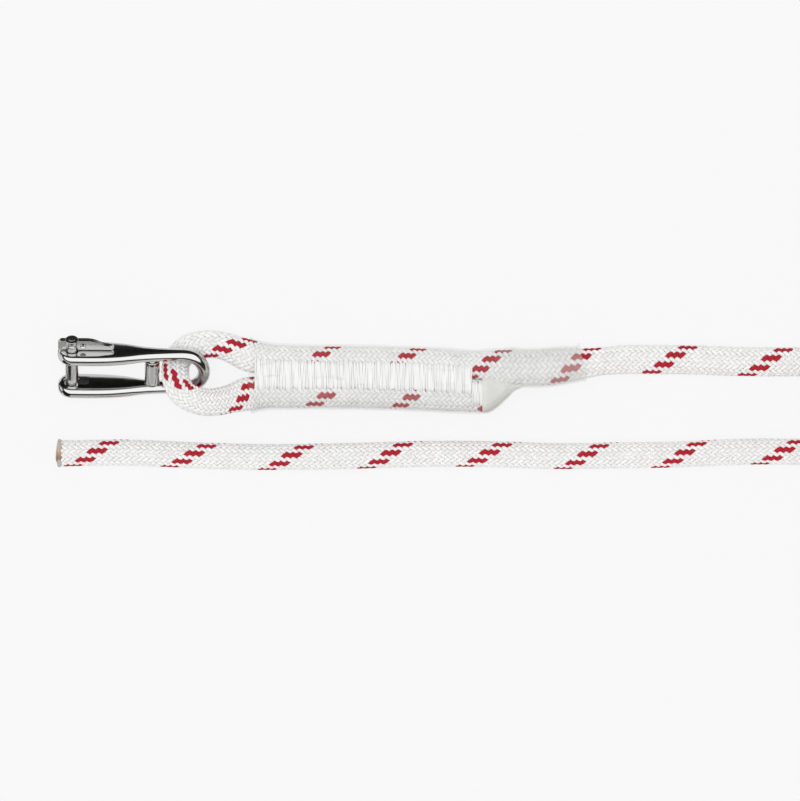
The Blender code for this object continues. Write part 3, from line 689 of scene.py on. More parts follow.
def braid_tree():
    """Geometry nodes: the floats of a 2/2 braid and the bed below them, bent onto a route."""
    tree, read, end = new_tree("Braid floats", "GeometryNodeTree", {
        "Rows": ("Int", ROWS), "First Row": ("Int", 0), "Route Start": ("Float", 0.0),
        "Route Steps": ("Int", 64), "Radius": ("Float", 0.004), "Groove": ("Float", 0.0005),
        "Reach": ("Float", FLOAT_REACH), "Width": ("Float", FLOAT_WIDTH), "Tracer Strands": ("Int", 3),
        "Seed": ("Int", 1), "Material": ("Material", None),
    })

    # One point for each float. p counts crossings along a right-hand strand, q along a left-hand one
    index = Wire(tree, tree.nodes.new("GeometryNodeInputIndex").outputs[0])
    row = (index / ROWS).floor() + read("First Row")
    column = (index.wrap(ROWS) / 2).floor()
    left = index.wrap(2)
    strand = row + column * 2 + 1
    chance = node(tree, "FunctionNodeRandomValue", {"data_type": "FLOAT"}, Seed=read("Seed"))
    points = node(tree, "GeometryNodePoints", Count=read("Rows") * ROWS).outputs[0]
    points = stored(tree, points, {
        "p": row + column * 2 + left * 0.5 + 0.5, "q": row - column * 2 - left * 1.5, "left": left,
        "tracer": (strand + 1).wrap(ROWS).below(read("Tracer Strands")) * left,
        "shade": Wire(tree, chance.outputs[1]),
    })
    grid = node(tree, "GeometryNodeMeshGrid", Vertices_X=9, Vertices_Y=5,
                Size_X=read("Reach") * 2, Size_Y=1.0)
    shape = stored(tree, grid.outputs["Mesh"], {"UVMap": grid.outputs["UV Map"]}, "FLOAT2", "CORNER")
    floats = copies(tree, points, shape)

    along, over, _ = components(tree, position(tree))
    is_left, tracer = named(tree, "left"), named(tree, "tracer")
    is_right = (is_left * -1) + 1
    wide = over * read("Width") * (tracer * TRACER_FULLER + 1)
    p = named(tree, "p") + along * is_right + wide * is_left
    q = named(tree, "q") + wide * is_right + along * is_left
    drop = (along.power(FLOAT_FALL[0]) + (over * 2).power(FLOAT_FALL[1])) * read("Groove")
    drop = drop * (tracer * -TRACER_PROUD + 1)
    floats = moved(tree, floats, flat_position(tree, (p + q) / CELLS, (p - q) * (2 * math.pi / CELLS), drop))

    # The bed: a tube that closes the gaps below the floats
    bed = node(tree, "GeometryNodeMeshGrid", Size_X=1.0, Size_Y=2 * math.pi, Vertices_Y=25,
               Vertices_X=read("Rows") + 1).outputs["Mesh"]
    along, angle, _ = components(tree, position(tree))
    lead = ((along + 0.5) * read("Rows") + read("First Row")) / ROWS
    bed = moved(tree, bed, flat_position(tree, lead, angle, read("Groove") * BED_DEPTH))
    both = tree.nodes.new("GeometryNodeJoinGeometry")
    tree.links.new(bed, both.inputs[0])
    tree.links.new(floats, both.inputs[0])

    # Bend rope space onto the route
    lead, angle, drop = components(tree, position(tree))
    steps = (lead - read("Route Start")) * read("Route Steps")
    before = steps.floor()

    def on_route(value):
        """A vector of the route's points, read between the two that stand on either side."""
        ends = [sampled(tree, read("Geometry"), value, place) for place in (before, before + 1)]
        return between(tree, steps - before, *ends)

    angle = angle + sampled(tree, read("Geometry"), named(tree, "twist"), before, "FLOAT")
    share = (drop / read("Radius")) * -1 + 1
    place = on_route(position(tree))
    for label, wave in (("up", "COSINE"), ("side", "SINE")):
        reach = on_route(named(tree, label, "FLOAT_VECTOR"))
        place = vector(tree, "ADD", place, vector(tree, "SCALE", reach, scale=angle.math(wave) * share))
    put_out(tree, end, moved(tree, both.outputs[0], place), read("Material"))
    return tree


class Stretch:
    """A stretch of the rope read at even shares of a lead: its line and its reach up and sideways.

    leads counts the leads that the braid has run at each point of the line, and wide and high are half of its
    size there. twist lists (lead, degrees). pinch gives a direction and the share of the size left along it.
    """

    def __init__(self, line, leads, steps, wide, high, twist, pinch=None):
        along = lengths_of(line)
        first, last = math.ceil(leads[0] * steps), math.floor(leads[-1] * steps)
        self.start, self.steps = first / steps, steps
        self.leads = np.arange(first, last + 1) / steps
        at = np.interp(self.leads, leads, along)
        self.line = np.stack([np.interp(at, along, line[:, k]) for k in range(3)], axis=1)
        up, side = frames_along(self.line)
        self.twist = np.radians(np.interp(self.leads, *np.array(twist).T))
        self.up = up * np.interp(at, along, high)[:, None]
        self.side = side * np.interp(at, along, wide)[:, None]
        if pinch:
            way, factor = pinch(self.line)
            for reach in (self.up, self.side):
                reach -= way * ((1 - factor) * (reach @ way))[:, None]

    def braid(self, tree, name, first, last, rope, finish, seed):
        """The braid's floats and bed as a mesh, from one row of floats to another."""
        source = bpy.data.meshes.new(name)
        source.from_pydata([tuple(p) for p in self.line], [], [])
        for label, vectors in (("up", self.up), ("side", self.side)):
            layer = source.attributes.new(label, "FLOAT_VECTOR", "POINT")
            layer.data.foreach_set("vector", vectors.astype(np.float32).ravel())
        write_values(source, "twist", self.twist)
        mesh = bake_nodes(source, tree, {
            "Rows": last - first, "First Row": first, "Route Start": self.start,
            "Route Steps": self.steps, "Radius": rope.diameter / 2, "Groove": rope.relief,
            "Reach": FLOAT_REACH, "Width": FLOAT_WIDTH,
            "Tracer Strands": rope.tracer_strands, "Seed": seed, "Material": finish,
        }, name)
        drop_attributes(mesh, "p", "q", "left", "up", "side", "twist")
        return mesh


def eye_and_run(rope):
    """The rope from the short leg's cut end round the eye and along the run to the hank."""
    line = smooth_line(EYE_ROUTE + RUN_ROUTE + [(ROUTE_END, *RUN_ROUTE[-1][1:])], ROUTE_STEP)
    along = lengths_of(line)
    crown = int(np.argmin(line[:, 0]))
    short, long = line[:crown + 1, 0][::-1], line[crown:, 0]
    places, leads = [], []
    for x, turn in EYE_TURNS_SHORT_LEG:
        reach = np.interp(x * MM, short, along[:crown + 1][::-1])
        places.append(reach - max(0.0, x * MM - short[-1]))
        leads.append(turn)
    bend = slice(crown - 25, crown + 60)  # points of the line among which Y only grows
    places.append(np.interp(CROWN_TURN[0] * MM, line[bend, 1], along[bend]))
    leads.append(CROWN_TURN[1])
    for x, turn in EYE_TURNS_LONG_LEG:
        reach = np.interp(x * MM, long, along[crown:])
        places.append(reach + max(0.0, x * MM - long[-1]))
        leads.append(turn)
    turns = curve_through(places, leads, along)
    on_long = np.arange(len(line)) > crown
    at_crown = np.array(PIN_AT + Vector((math.cos(SHACKLE_YAW), math.sin(SHACKLE_YAW), 0.0)) * CROWN_AT)

    def pinch(points):
        """Which way the bow squeezes the rope, and to what share of its size at each point."""
        away = np.linalg.norm(points - at_crown, axis=1)
        way = np.array((0.0, math.cos(SHACKLE_TILT), math.sin(SHACKLE_TILT)))
        return way, 1 - CROWN_PINCH * bell(away, 0.0, CROWN_PINCH_REACH)

    wide, high = half_width(line[:, 0], on_long), half_height(line[:, 0], on_long)
    return Stretch(line, turns, rope.steps, wide, high, EYE_TWIST, pinch)


def tail_stretch(rope):
    """The rope from its sealed end back to the hank."""
    first, last = TAIL_ROUTE[0], TAIL_ROUTE[-1]
    line = smooth_line([(TAIL_FROM, *first[1:]), *TAIL_ROUTE, (ROUTE_END, *last[1:])], ROUTE_STEP)
    x = line[:, 0]
    turns = curve_through(*np.array(TAIL_TURNS).T * np.array([[MM], [1.0]]), x)
    flare = TAIL_FLARE * bell(x, END_SEAL_AT, TAIL_FLARE_REACH)
    slim = TAIL_SLIM * (1 - smooth_step((x - TAIL_SLIM_TO) / TAIL_SLIM_OVER))
    reach = rope.diameter / 2 - slim + flare
    return Stretch(line, turns, rope.steps, reach, reach, TAIL_TWIST)


def waist_scale(x):
    """The share of the hank's size that the strap leaves at this X."""
    return 1 - HANK_WAIST * np.exp(-((x - HANK_CENTRE.x) / HANK_WAIST_REACH) ** 4)


def prop_lift(x, half_straight):
    """How far the hank's near end is lifted by the two rope ends that pass under it."""
    return HANK_PROP * smooth_step((HANK_CENTRE.x - HANK_LEVEL - x) / (half_straight - HANK_LEVEL))


def hank_line(hank, rope, run_y, tail_y):
    """The folded length: in through the slot, out layer by layer, and back down to the slot."""
    top = hank.layers - 1
    turns = [(column, 0) for column in range(4)]
    for level in range(1, top):
        turns += [(column, level) for column in ((3, 2, 1) if level % 2 else (1, 2, 3))]
    last_climb = len(turns)
    turns += [(column, top) for column in (1, 2, 3)]
    crossing = len(turns) - 1
    turns += [(0, level) for level in range(top - 1, 0, -1)]

    # A turn is four quarters: upper side, far fold, lower side, near fold.
    # A key is the quarters run, the column, the level and the hump with which the rope steps over others
    keys = [(HANK_JOINS, *turns[0], 0.0)]
    for i, (before, after) in enumerate(zip(turns, turns[1:])):
        begin, end = HANK_TOP_CLIMB if last_climb <= i < crossing else HANK_CLIMB
        stops = [(begin, *before, 0.0), (end, *after, 0.0)]
        if i == crossing:
            rise, *raised, land = HANK_CROSSING
            stops = [(rise, *before, 0.0), *((quarters, place, top, 1.0) for quarters, place in raised),
                     (land, 0, top, 0.0), (begin, 0, top, 0.0), (end, *after, 0.0)]
        keys += [(4 * i + quarters, *where) for quarters, *where in stops]
    leave = 4 * (len(turns) - 1) + HANK_LEAVES
    keys.append((leave, *turns[-1], 0.0))
    keys = np.array(keys)
    at = np.arange(keys[0, 0], leave, 1 / HANK_STEPS)
    i = np.clip(np.searchsorted(keys[:, 0], at, side="right") - 1, 0, len(keys) - 2)
    share = smooth_step((at - keys[i, 0]) / (keys[i + 1, 0] - keys[i, 0]))[:, None]
    column, level, hump = (keys[i, 1:] + (keys[i + 1, 1:] - keys[i, 1:]) * share).T
    radius = hank.inner + rope.diameter * column
    radius = radius + HANK_UNEVEN[0] * np.sin(at * 0.91) * np.sin(at * 0.137 + 1)
    height = HANK_LOWEST + hank.pitch * (level + hump) + HANK_UNEVEN[1] * np.sin(at * 1.7 + 0.5)
    x, y = racetrack(at, radius, hank.half_straight)
    x = x + HANK_CENTRE.x
    scale = waist_scale(x)
    middle = HANK_HEIGHT / 2
    z = middle + (height - middle) * scale + prop_lift(x, hank.half_straight)
    folded = np.stack([x, HANK_CENTRE.y + y * scale, z], axis=1)

    def slot_way(fold, y_slot, turning, sinking):
        """Between the slot's floor and the place where the rope joins or leaves the folds."""
        x = np.linspace(SLOT_FROM, fold[0], 60)
        y = y_slot + (fold[1] - y_slot) * smooth_step((x - turning) / (fold[0] - turning))
        to_height = smooth_step((x - sinking[0]) / (sinking[1] - sinking[0]))
        return np.stack([x, y, SLOT_HEIGHT + (fold[2] - SLOT_HEIGHT) * to_height], axis=1)

    first, final = folded[0], folded[-1]
    way_in = slot_way(first, run_y, turning=200 * MM, sinking=(205 * MM, first[0]))
    way_out = slot_way(final, tail_y, turning=222 * MM, sinking=(206 * MM, 258 * MM))
    return np.concatenate([way_in[:-1], folded, way_out[::-1][1:]])


def racetrack(at, radius, half):
    """Place after this many quarters of a turn: upper side, far fold, lower side, near fold."""
    quarter = np.floor(at).astype(int) % 4
    share = at - np.floor(at)
    turn = share * math.pi
    x = np.select(
        [quarter == 0, quarter == 1, quarter == 2],
        [(2 * share - 1) * half, half + radius * np.sin(turn), (1 - 2 * share) * half],
        -half - radius * np.sin(turn),
    )
    y = np.select(
        [quarter == 0, quarter == 1, quarter == 2],
        [radius, radius * np.cos(turn), -radius], -radius * np.cos(turn),
    )
    return x, y


def free_rope_mesh(rope, hank, long, tail):
    """The free rope: a thin core where the braid covers it, full size in the hank. Its line as well."""
    crown = int(np.argmin(long.line[:, 0]))
    run = long.line[crown:]
    run = run[(run[:, 0] >= EXIT.x) & (run[:, 0] < SHARED_TO)]
    back = tail.line[tail.line[:, 0] < SHARED_TO][::-1]
    folded = hank_line(hank, rope, run[-1, 1], back[0, 1])
    line = resample(np.concatenate([run, folded[1:-1], back]), FREE_STEP)
    along = lengths_of(line)
    ends = (along < THIN_ENDS[0]) | (along > along[-1] - THIN_ENDS[1])
    full = np.where(ends, smooth_step((line[:, 0] - FULL_FROM) / FULL_OVER), 1.0)
    radius = rope.diameter / 2 * (CORE_SHARE + (1 - CORE_SHARE) * full)
    rings = round_rings(line, radius, FREE_SIDES, 1 - HANK_FLATTENED * full)
    lead = along / rope.lead
    bm = skin(rings, uv=lambda i, j: (lead[i], j / FREE_SIDES))
    return finished(bm, "free_rope", smooth_below=60), line


def in_shackle(points):
    """Turn places in the shackle's own axes into places in the frame.

    The axes start at the pin's middle: L runs to the bow, P along the pin and W across an arm.
    """
    turn = Euler((SHACKLE_TILT, 0.0, SHACKLE_YAW)).to_matrix()
    return [PIN_AT + turn @ Vector(point) for point in points]


def turned(profile, sides, along=0.0):
    """Rings of a form turned about P at this place along L, from (radius, place along P) points."""
    angles = (np.arange(sides) + 0.5) * 2 * math.pi / sides
    return [[(along + r * math.cos(a), p, r * math.sin(a)) for a in angles] for r, p in profile]


def upright(outline, *places):
    """Rings of the same (L, W) outline at these places along P."""
    return [[(x, p, z) for x, z in outline] for p in places]


def solid(rings):
    """A closed mesh in the shackle's own axes."""
    return finished(skin(rings), "solid")


def shaped(mesh, *cuts):
    """Join solids to a mesh or take them away: cuts are ("UNION" or "DIFFERENCE", mesh)."""
    base = bpy.data.objects.new("base", mesh)
    bpy.context.scene.collection.objects.link(base)
    others = []
    for operation, other in cuts:
        tool = bpy.data.objects.new("tool", other)
        bpy.context.scene.collection.objects.link(tool)
        step = base.modifiers.new("cut", "BOOLEAN")
        step.operation, step.solver, step.object = operation, "EXACT", tool
        others.append(tool)
    made = bpy.data.meshes.new_from_object(base.evaluated_get(bpy.context.evaluated_depsgraph_get()))
    for tool in (base, *others):
        bpy.data.objects.remove(tool)
    return made


def placed_metal(mesh, name):
    """Move a finished mesh from the shackle's axes into the frame, with clean shading."""
    bm = bmesh.new()
    bm.from_mesh(mesh)
    bmesh.ops.remove_doubles(bm, verts=bm.verts, dist=0.004 * MM)
    bmesh.ops.dissolve_degenerate(bm, edges=bm.edges, dist=0.002 * MM)
    for vert, place in zip(bm.verts, in_shackle([v.co for v in bm.verts])):
        vert.co = place
    return finished(bm, name, smooth_below=32)


def arm_stations(shackle):
    """Along one arm from its round end to the bow: (L, half width, half thickness)."""
    places, widths = np.array(ARM_OUTLINE).T * MM
    half, corner = shackle.arm_thick / 2, shackle.arm_corner
    stations = []
    for angle in np.radians(np.linspace(86, 4, 16)):
        back = ARM_END * math.sin(angle)
        over = max(0.0, back - (ARM_END - corner))
        stations.append((-back, widths[0] * math.cos(angle), half - corner + math.sqrt(corner**2 - over**2)))
    for at in np.linspace(0.0, BOW_AT, 44):
        wide = float(curve_through(places, widths, np.array([at]))[0])
        share = float(smooth_step((at - BOW_FROM) / (BOW_AT - BOW_FROM)))
        stations.append((at, wide, half + share * (shackle.bow_wire / 2 - half)))
    return stations


def shackle_mesh(shackle):
    """The forged U with its bores, key slot, countersink and seats for the cross bar."""
    wire, inner = shackle.bow_wire / 2, shackle.clevis / 2
    middle, outer = inner + shackle.arm_thick / 2, inner + shackle.arm_thick
    rings = []

    def ring(centre, outward, wide, thick):
        """One section of the U, whose corners widen until the bow is round."""
        share = float(smooth_step((wire * 2 - wide) / wire))
        corner = shackle.arm_corner + share * (wire - shackle.arm_corner)
        corner = min(corner, CORNER_MOST * wide, CORNER_MOST * thick)
        rings.append([
            (centre[0] + outward[0] * t, centre[1] + outward[1] * t, w)
            for w, t in rounded_rectangle(wide, thick, corner, 7)
        ])

    stations = arm_stations(shackle)
    for at, wide, thick in stations:
        ring((at, middle), (0, 1), wide, thick)
    for angle in np.radians(np.linspace(87, -87, 59)):
        out = math.cos(angle), math.sin(angle)
        ring((BOW_AT + middle * out[0], middle * out[1]), out, wire, wire)
    for at, wide, thick in reversed(stations):
        ring((at, -middle), (0, -1), wide, thick)
    body = solid(rings)

    bore, edge, past = shackle.pin_radius + FIT, 0.2 * MM, 1.0 * MM
    sink = shackle.countersink
    bore_cut = turned([
        (bore + edge + past, -outer - past), (bore, -outer + edge), (bore, -inner - sink + bore - 0.1 * MM),
        (sink, -inner), (sink + past, -inner + past), (bore + edge + past, inner - past),
        (bore, inner + edge), (bore, outer - edge), (bore + edge + past, outer + past),
    ], 56)
    slot = round_slot(KEY_SLOT_FROM, KEY_SLOT_REACH - KEY_SLOT_HALF_WIDTH, KEY_SLOT_HALF_WIDTH)
    slot_cut = upright(slot, -outer - past, -inner + past)
    seat, depth = BAR_SPIGOT_RADIUS + FIT, inner + BAR_SEAT + FIT
    seat_cut = turned([(seat, -depth), (seat, depth)], 32, BAR_AT)
    body = shaped(body, *(("DIFFERENCE", solid(cut)) for cut in (bore_cut, slot_cut, seat_cut)))

    # The walls of the key slot are rougher and get painted shade, a near-black base colour: the faces inside
    # the slot, clear of the arm's two surfaces
    clear = 0.05 * MM
    write_values(body, "slot_rough_and_shaded", [
        1.5 * MM < face.center.x < KEY_SLOT_REACH + 2 * clear
        and abs(face.center.z) < KEY_SLOT_HALF_WIDTH + clear
        and -outer + clear < face.center.y < -inner - clear
        for face in body.polygons
    ], "FACE")
    return placed_metal(body, "shackle_forging")


def round_slot(start, end, radius):
    """Outline of a slot with round ends along L."""
    turn = np.linspace(-math.pi / 2, math.pi / 2, 16)
    far = [(end + radius * math.cos(a), radius * math.sin(a)) for a in turn]
    near = [(start - radius * math.cos(a), -radius * math.sin(a)) for a in turn]
    return far + near


def cross_bar_mesh(shackle):
    """The bar across the clevis: a barrel between two spigots that sit in the arms."""
    shoulder, end, edge = shackle.clevis / 2 - FIT, shackle.clevis / 2 + BAR_SEAT, 0.2 * MM
    half = [(BAR_SPIGOT_RADIUS, end), (BAR_SPIGOT_RADIUS, shoulder), (BAR_RADIUS - edge, shoulder)]
    half += [
        (BAR_RADIUS - edge + edge * math.sin(a), shoulder - edge + edge * math.cos(a))
        for a in (0.5, 1.0, 1.57)
    ]
    half += [(BAR_RADIUS, shoulder * share) for share in (0.7, 0.4, 0.1)]
    profile = half + [(r, -p) for r, p in reversed(half)]
    return placed_metal(solid(turned(profile, 40, BAR_AT)), "bar")


def handle_outline(shackle):
    """The blade seen square to its flat side: high at the pin, tapering to a lipped tip."""
    low = (shackle.clevis / 2 + shackle.arm_thick + FIT) / MM
    # Places (L, P) in millimetres
    back = [
        (-3.9 + 0.9 * (1 - math.cos(a)), 10.3 + 0.9 * math.sin(a)) for a in np.linspace(0.0, math.pi / 2, 7)
    ]
    along = np.linspace(3.4, 11.0, 18)
    crest = curve_through([3.4, 4.9, 6.2, 8.2, 10.2, 11.0], [11.22, 11.2, 10.95, 10.1, 9.45, 9.5], along)
    tip = [(11.6, 9.35), (11.85, 9.15), (12.0, 8.9), (12.0, 8.6), (11.9, 8.4), (11.4, low)]
    points = [(-3.9, low + 0.4), *back, *zip(along, crest), *tip, (-3.5, low)]
    return [(x * MM, p * MM) for x, p in points]


def key_pin_mesh(shackle):
    """The captive pin with its blade handle on top and its key nose underneath."""
    r, top, foot = shackle.pin_radius, PIN_TOP, PIN_FOOT
    edge, groove_at, groove_deep, groove_half = 0.14 * MM, top - 1.5 * MM, 0.3 * MM, 0.45 * MM
    rounding = [
        (r - edge + edge * math.sin(a), edge * (math.cos(a) - 1)) for a in np.linspace(0.0, math.pi / 2, 5)
    ]
    # From the dimple in its top end, past one groove, down to its foot
    profile = [(0.05 * MM, top - 0.45 * MM), (0.75 * MM, top - 0.03 * MM), (0.85 * MM, top)]
    profile += [(a, top + p) for a, p in rounding]
    profile += [
        (r - groove_deep * math.sin(a), groove_at + groove_half * math.cos(a))
        for a in np.linspace(0.0, math.pi, 7)
    ]
    profile += [(a, foot - p) for a, p in reversed(rounding)] + [(0.3 * r, foot)]
    pin = solid(turned(profile, 48))

    outline, thick = handle_outline(shackle), HANDLE_HALF_THICK
    bm = skin([[(x, p, z) for x, p in outline] for z in (-thick, thick)])
    rims = [e for e in bm.edges if abs(e.verts[0].co.z - e.verts[1].co.z) < 1e-7]
    bmesh.ops.bevel(bm, geom=rims, offset=0.25 * MM, segments=3, affect="EDGES")
    blade = finished(bm, "blade")
    hole_at = (shackle.clevis / 2 + shackle.arm_thick + top) / 2
    hole = []
    for z, grow in ((-2, 1.8), (-0.62, 0.0), (0.62, 0.0), (2, 1.8)):
        reach = HANDLE_HOLE_RADIUS + grow * thick * 0.75
        hole.append([
            (HANDLE_HOLE_AT + reach * math.cos(a), hole_at + reach * math.sin(a), z * thick)
            for a in np.arange(32) * math.pi / 16
        ])
    nose_top = -(shackle.clevis / 2 + shackle.arm_thick + FIT)
    lug = round_slot(-(NOSE_REACH - NOSE_HALF_WIDTH), 0.0, NOSE_HALF_WIDTH)
    nose = solid(upright(lug, nose_top, foot + 0.05 * MM))
    made = shaped(pin, ("UNION", blade), ("UNION", nose), ("DIFFERENCE", solid(hole)))
    return placed_metal(made, "pin")


def leg_centres(line):
    """Functions of X for the centres (Y, Z) of the run's leg and of the short leg."""
    crown = int(np.argmin(line[:, 0]))

    def centre_of(leg):
        """A function of X for the centre of one leg."""
        return lambda x: np.stack([np.interp(x, leg[:, 0], leg[:, k]) for k in (1, 2)], axis=-1)

    return centre_of(line[crown:]), centre_of(line[:crown + 1][::-1])


def stitch_tree():
    """Geometry nodes: threads laid side by side over a ladder of left and right ends."""
    tree, read, end = new_tree("Sewing threads", "GeometryNodeTree", {
        "Count": ("Int", 140), "Thread": ("Float", 0.0002), "Raggedness": ("Float", 0.05),
        "Sag": ("Float", 0.0003), "Seed": ("Int", 1), "Material": ("Material", None),
    })

    def chance(low, high, offset):
        """A random number for each thread."""
        made = node(tree, "FunctionNodeRandomValue", {"data_type": "FLOAT"}, Seed=read("Seed") + offset)
        made.inputs[2].default_value, made.inputs[3].default_value = low, high
        return Wire(tree, made.outputs[1])

    points = node(tree, "GeometryNodePoints", Count=read("Count")).outputs[0]
    points = stored(tree, points, {
        "thread": Wire(tree, tree.nodes.new("GeometryNodeInputIndex").outputs[0]),
        "near_end": chance(-1.0, 1.0, 0) * read("Raggedness"),
        "far_end": chance(-1.0, 1.0, 1) * read("Raggedness"),
        "lean": chance(-0.9, 0.9, 2), "shade": chance(0.0, 1.0, 3),
    })
    line = node(tree, "GeometryNodeMeshLine", Count=11)
    line.inputs["Offset"].default_value = (0.1, 0.0, 0.0)
    curve = node(tree, "GeometryNodeMeshToCurve", Mesh=line.outputs[0]).outputs[0]
    ring = node(tree, "GeometryNodeCurvePrimitiveCircle", Resolution=6, Radius=1.0)
    tube = node(tree, "GeometryNodeCurveToMesh", Curve=curve, Profile_Curve=ring.outputs[0], Fill_Caps=True)
    threads = copies(tree, points, tube.outputs[0])

    along, across, high = components(tree, position(tree))
    near, far = named(tree, "near_end"), named(tree, "far_end")
    share = near + along * ((far - near) + 1)
    first_end = named(tree, "thread") * 2
    ends = [sampled(tree, read("Geometry"), position(tree), first_end + k) for k in (0, 1)]
    centre = between(tree, share, *ends)
    # Each end dives between the strands of the rope
    off_middle = (share - 0.5) * 2
    dive = off_middle.power(8) * read("Sag") * -1
    slim = off_middle.power(10) * -0.6 + 1
    aside = across * read("Thread") * 1.15 + named(tree, "lean") * read("Thread") * off_middle
    flip = sampled(tree, read("Geometry"), named(tree, "way"), first_end, "FLOAT")
    lift = (dive + high * read("Thread") * slim) * flip
    offset = node(tree, "ShaderNodeCombineXYZ", X=aside, Z=lift).outputs[0]
    put_out(tree, end, moved(tree, threads, vector(tree, "ADD", centre, offset)), read("Material"))
    return tree


def stitch_ends(sewing, line):
    """Both ends of each thread, above and below the two legs."""
    run_leg, short_leg = leg_centres(line)
    count = round((sewing.last - sewing.first) / sewing.pitch)
    order = np.arange(count)
    x = sewing.first + (order + 0.12 * (np.sin(order * 1.3) + np.sin(order * 0.37 + 1))) * sewing.pitch
    upper, lower = run_leg(x), short_leg(x)
    both_legs = x < sewing.narrow
    stray = 0.1 * MM * np.sin(order * 0.8)
    middle = np.where(both_legs, (upper[:, 1] + lower[:, 1]) / 2, lower[:, 1])
    near_y = np.where(both_legs, upper[:, 0] + THREAD_ENDS[0, 0], lower[:, 0] + THREAD_ENDS[1, 0])
    far_y = lower[:, 0] + np.where(both_legs, *THREAD_ENDS[:, 1]) + stray
    points, way = [], []
    for side in (1, -1):
        z = middle + side * (half_height(x, 1) + STITCH_RISE)
        ends = np.stack([x, near_y, z], axis=1), np.stack([x + stray, far_y, z], axis=1)
        points.append(np.stack(ends, axis=1).reshape(-1, 3))
        way += [side] * (2 * count)
    return np.concatenate(points), way, 2 * count


def sewn_bed_mesh(sewing, line):
    """The filled valley below the threads."""
    run_leg, short_leg = leg_centres(line)
    both_legs = np.linspace(sewing.first + 0.4 * MM, sewing.narrow, 60)
    one_leg = np.linspace(sewing.narrow + 0.05 * MM, sewing.last, 6)
    rings = []
    for x in (*both_legs, *one_leg):
        (yu, zu), (yl, zl) = run_leg(x), short_leg(x)
        high = half_height(x, 1) + STITCH_RISE - BED_SINK
        if x <= sewing.narrow:
            near, far, middle = yu + BED_ENDS[0, 0], yl + BED_ENDS[0, 1], (zu + zl) / 2
        else:
            near, far, middle = yl + BED_ENDS[1, 0], yl + BED_ENDS[1, 1], zl
        section = [
            (near, high - BED_EDGE), (near - BED_EDGE, high), (far + BED_EDGE, high), (far, high - BED_EDGE),
        ]
        section += [(y, -z) for y, z in reversed(section)]
        rings.append([(x, y, middle + z) for y, z in section])
    return finished(skin(rings), "sewn_bed")


def sleeve_rings(line, sleeve, grow, stations):
    """Sections round both legs, closing to the run's leg alone past the cut end."""
    run_leg, short_leg = leg_centres(line)
    turn = np.linspace(-math.pi / 2, math.pi / 2, 25)

    def straight(start, end):
        """The film between the two legs, from one to the other."""
        shares = np.linspace(0, 1, 14)[1:-1]
        return [tuple(np.array(start) * (1 - share) + np.array(end) * share) for share in shares]

    rings = []
    for x in stations:
        yu, zu = run_leg(x)
        yl, zl = short_leg(min(x, EYE_ROUTE[0][0] * MM))
        merge = np.clip((x - SLEEVE_MERGE[0]) / (SLEEVE_MERGE[1] - SLEEVE_MERGE[0]), 0, 1)
        merge = smooth_step(merge ** SLEEVE_MERGE_LATE)
        yl, zl = yl + (yu - yl) * merge, zl + (zu - zl) * merge
        lip = 0.25 * MM * bell(x, sleeve.first, 1.2 * MM) + 0.2 * MM * bell(x, sleeve.last, 1.0 * MM)
        slack = GAP + grow + lip
        wide_up = half_width(x, 1) + slack
        wide_low = half_width(x, 0) * (1 - merge) + half_width(x, 1) * merge + slack
        tall = half_height(x, 1) + slack + STITCH_RISE * (1 - merge)
        upper = [(yu + wide_up * math.cos(a), zu + tall * math.sin(a)) for a in turn]
        lower = [(yl - wide_low * math.cos(a), zl - tall * math.sin(a)) for a in turn]
        ring = [*upper, *straight(upper[-1], (yl, zl + tall)), *lower, *straight(lower[-1], upper[0])]
        rings.append([(x, y, z) for y, z in ring])
    return np.array(rings)


def sleeve_mesh(line, sleeve):
    """The film: an outer and an inner skin with creases, uneven cut edges and a mask of how milky it is."""
    stations = np.linspace(sleeve.first, sleeve.last, 170)
    outer, inner = (sleeve_rings(line, sleeve, grow, stations) for grow in (sleeve.wall, 0.0))
    # Small creases, deepest where the film closes from two legs to one
    x, y = outer[..., 0], outer[..., 1]
    crease = 0.10 * MM * bell(x, 50 * MM, 7 * MM) * np.sin((x * 0.8 + y * 1.1) / (0.9 * MM))
    crease = crease * np.sin(y / (2.1 * MM) + 1)
    ripple = 0.03 * MM * np.sin(x / (1.7 * MM) + 2 * np.sin(y / (3 * MM)))
    away = outer - outer.mean(axis=1, keepdims=True)
    away /= np.linalg.norm(away, axis=2)[..., None]
    shift = away * (np.maximum(crease + ripple, -0.1 * MM) + 0.05 * MM)[..., None]
    # The cut edges are a little uneven, and the far one is slanted and lifts off on its upper side
    near_first, near_last = (bell(x, edge, 2 * MM) for edge in (sleeve.first, sleeve.last))
    upper = smooth_step((y - 1 * MM) / (5 * MM))
    shift[..., 0] -= 0.5 * MM * np.sin(y / (2.6 * MM) + 2.2) * near_first + 1.7 * MM * upper * near_last
    shift[..., 1] += 0.6 * MM * upper * near_last
    for rings, lowest in ((outer, FILM_LOWEST), (inner, FILM_LOWEST + sleeve.wall)):
        rings += shift
        rings[..., 2] = np.maximum(rings[..., 2], lowest)  # it lies flat where it rests on the ground
    rings = np.concatenate([outer, inner[::-1]])
    mesh = finished(skin(rings, loop=True), "sleeve", smooth_below=50)

    # How dense and milky the film is: shrunk hard over the splice, stretched white past the cut end, and
    # denser towards the lower side (-Y)
    x, y = rings[..., 0], rings[..., 1]
    run_y = leg_centres(line)[0](x)[..., 0]
    tent = smooth_step((run_y - half_width(x, 1) - y) / (1.2 * MM) + 0.5) * span(x, TENT)
    lower = smooth_step((-2 * MM - y) / (6 * MM))
    splice = smooth_step((x - 44 * MM) / (8 * MM))
    write_values(mesh, "veil", 0.03 + 0.05 * lower + 0.10 * splice + 0.06 * tent)
    return mesh


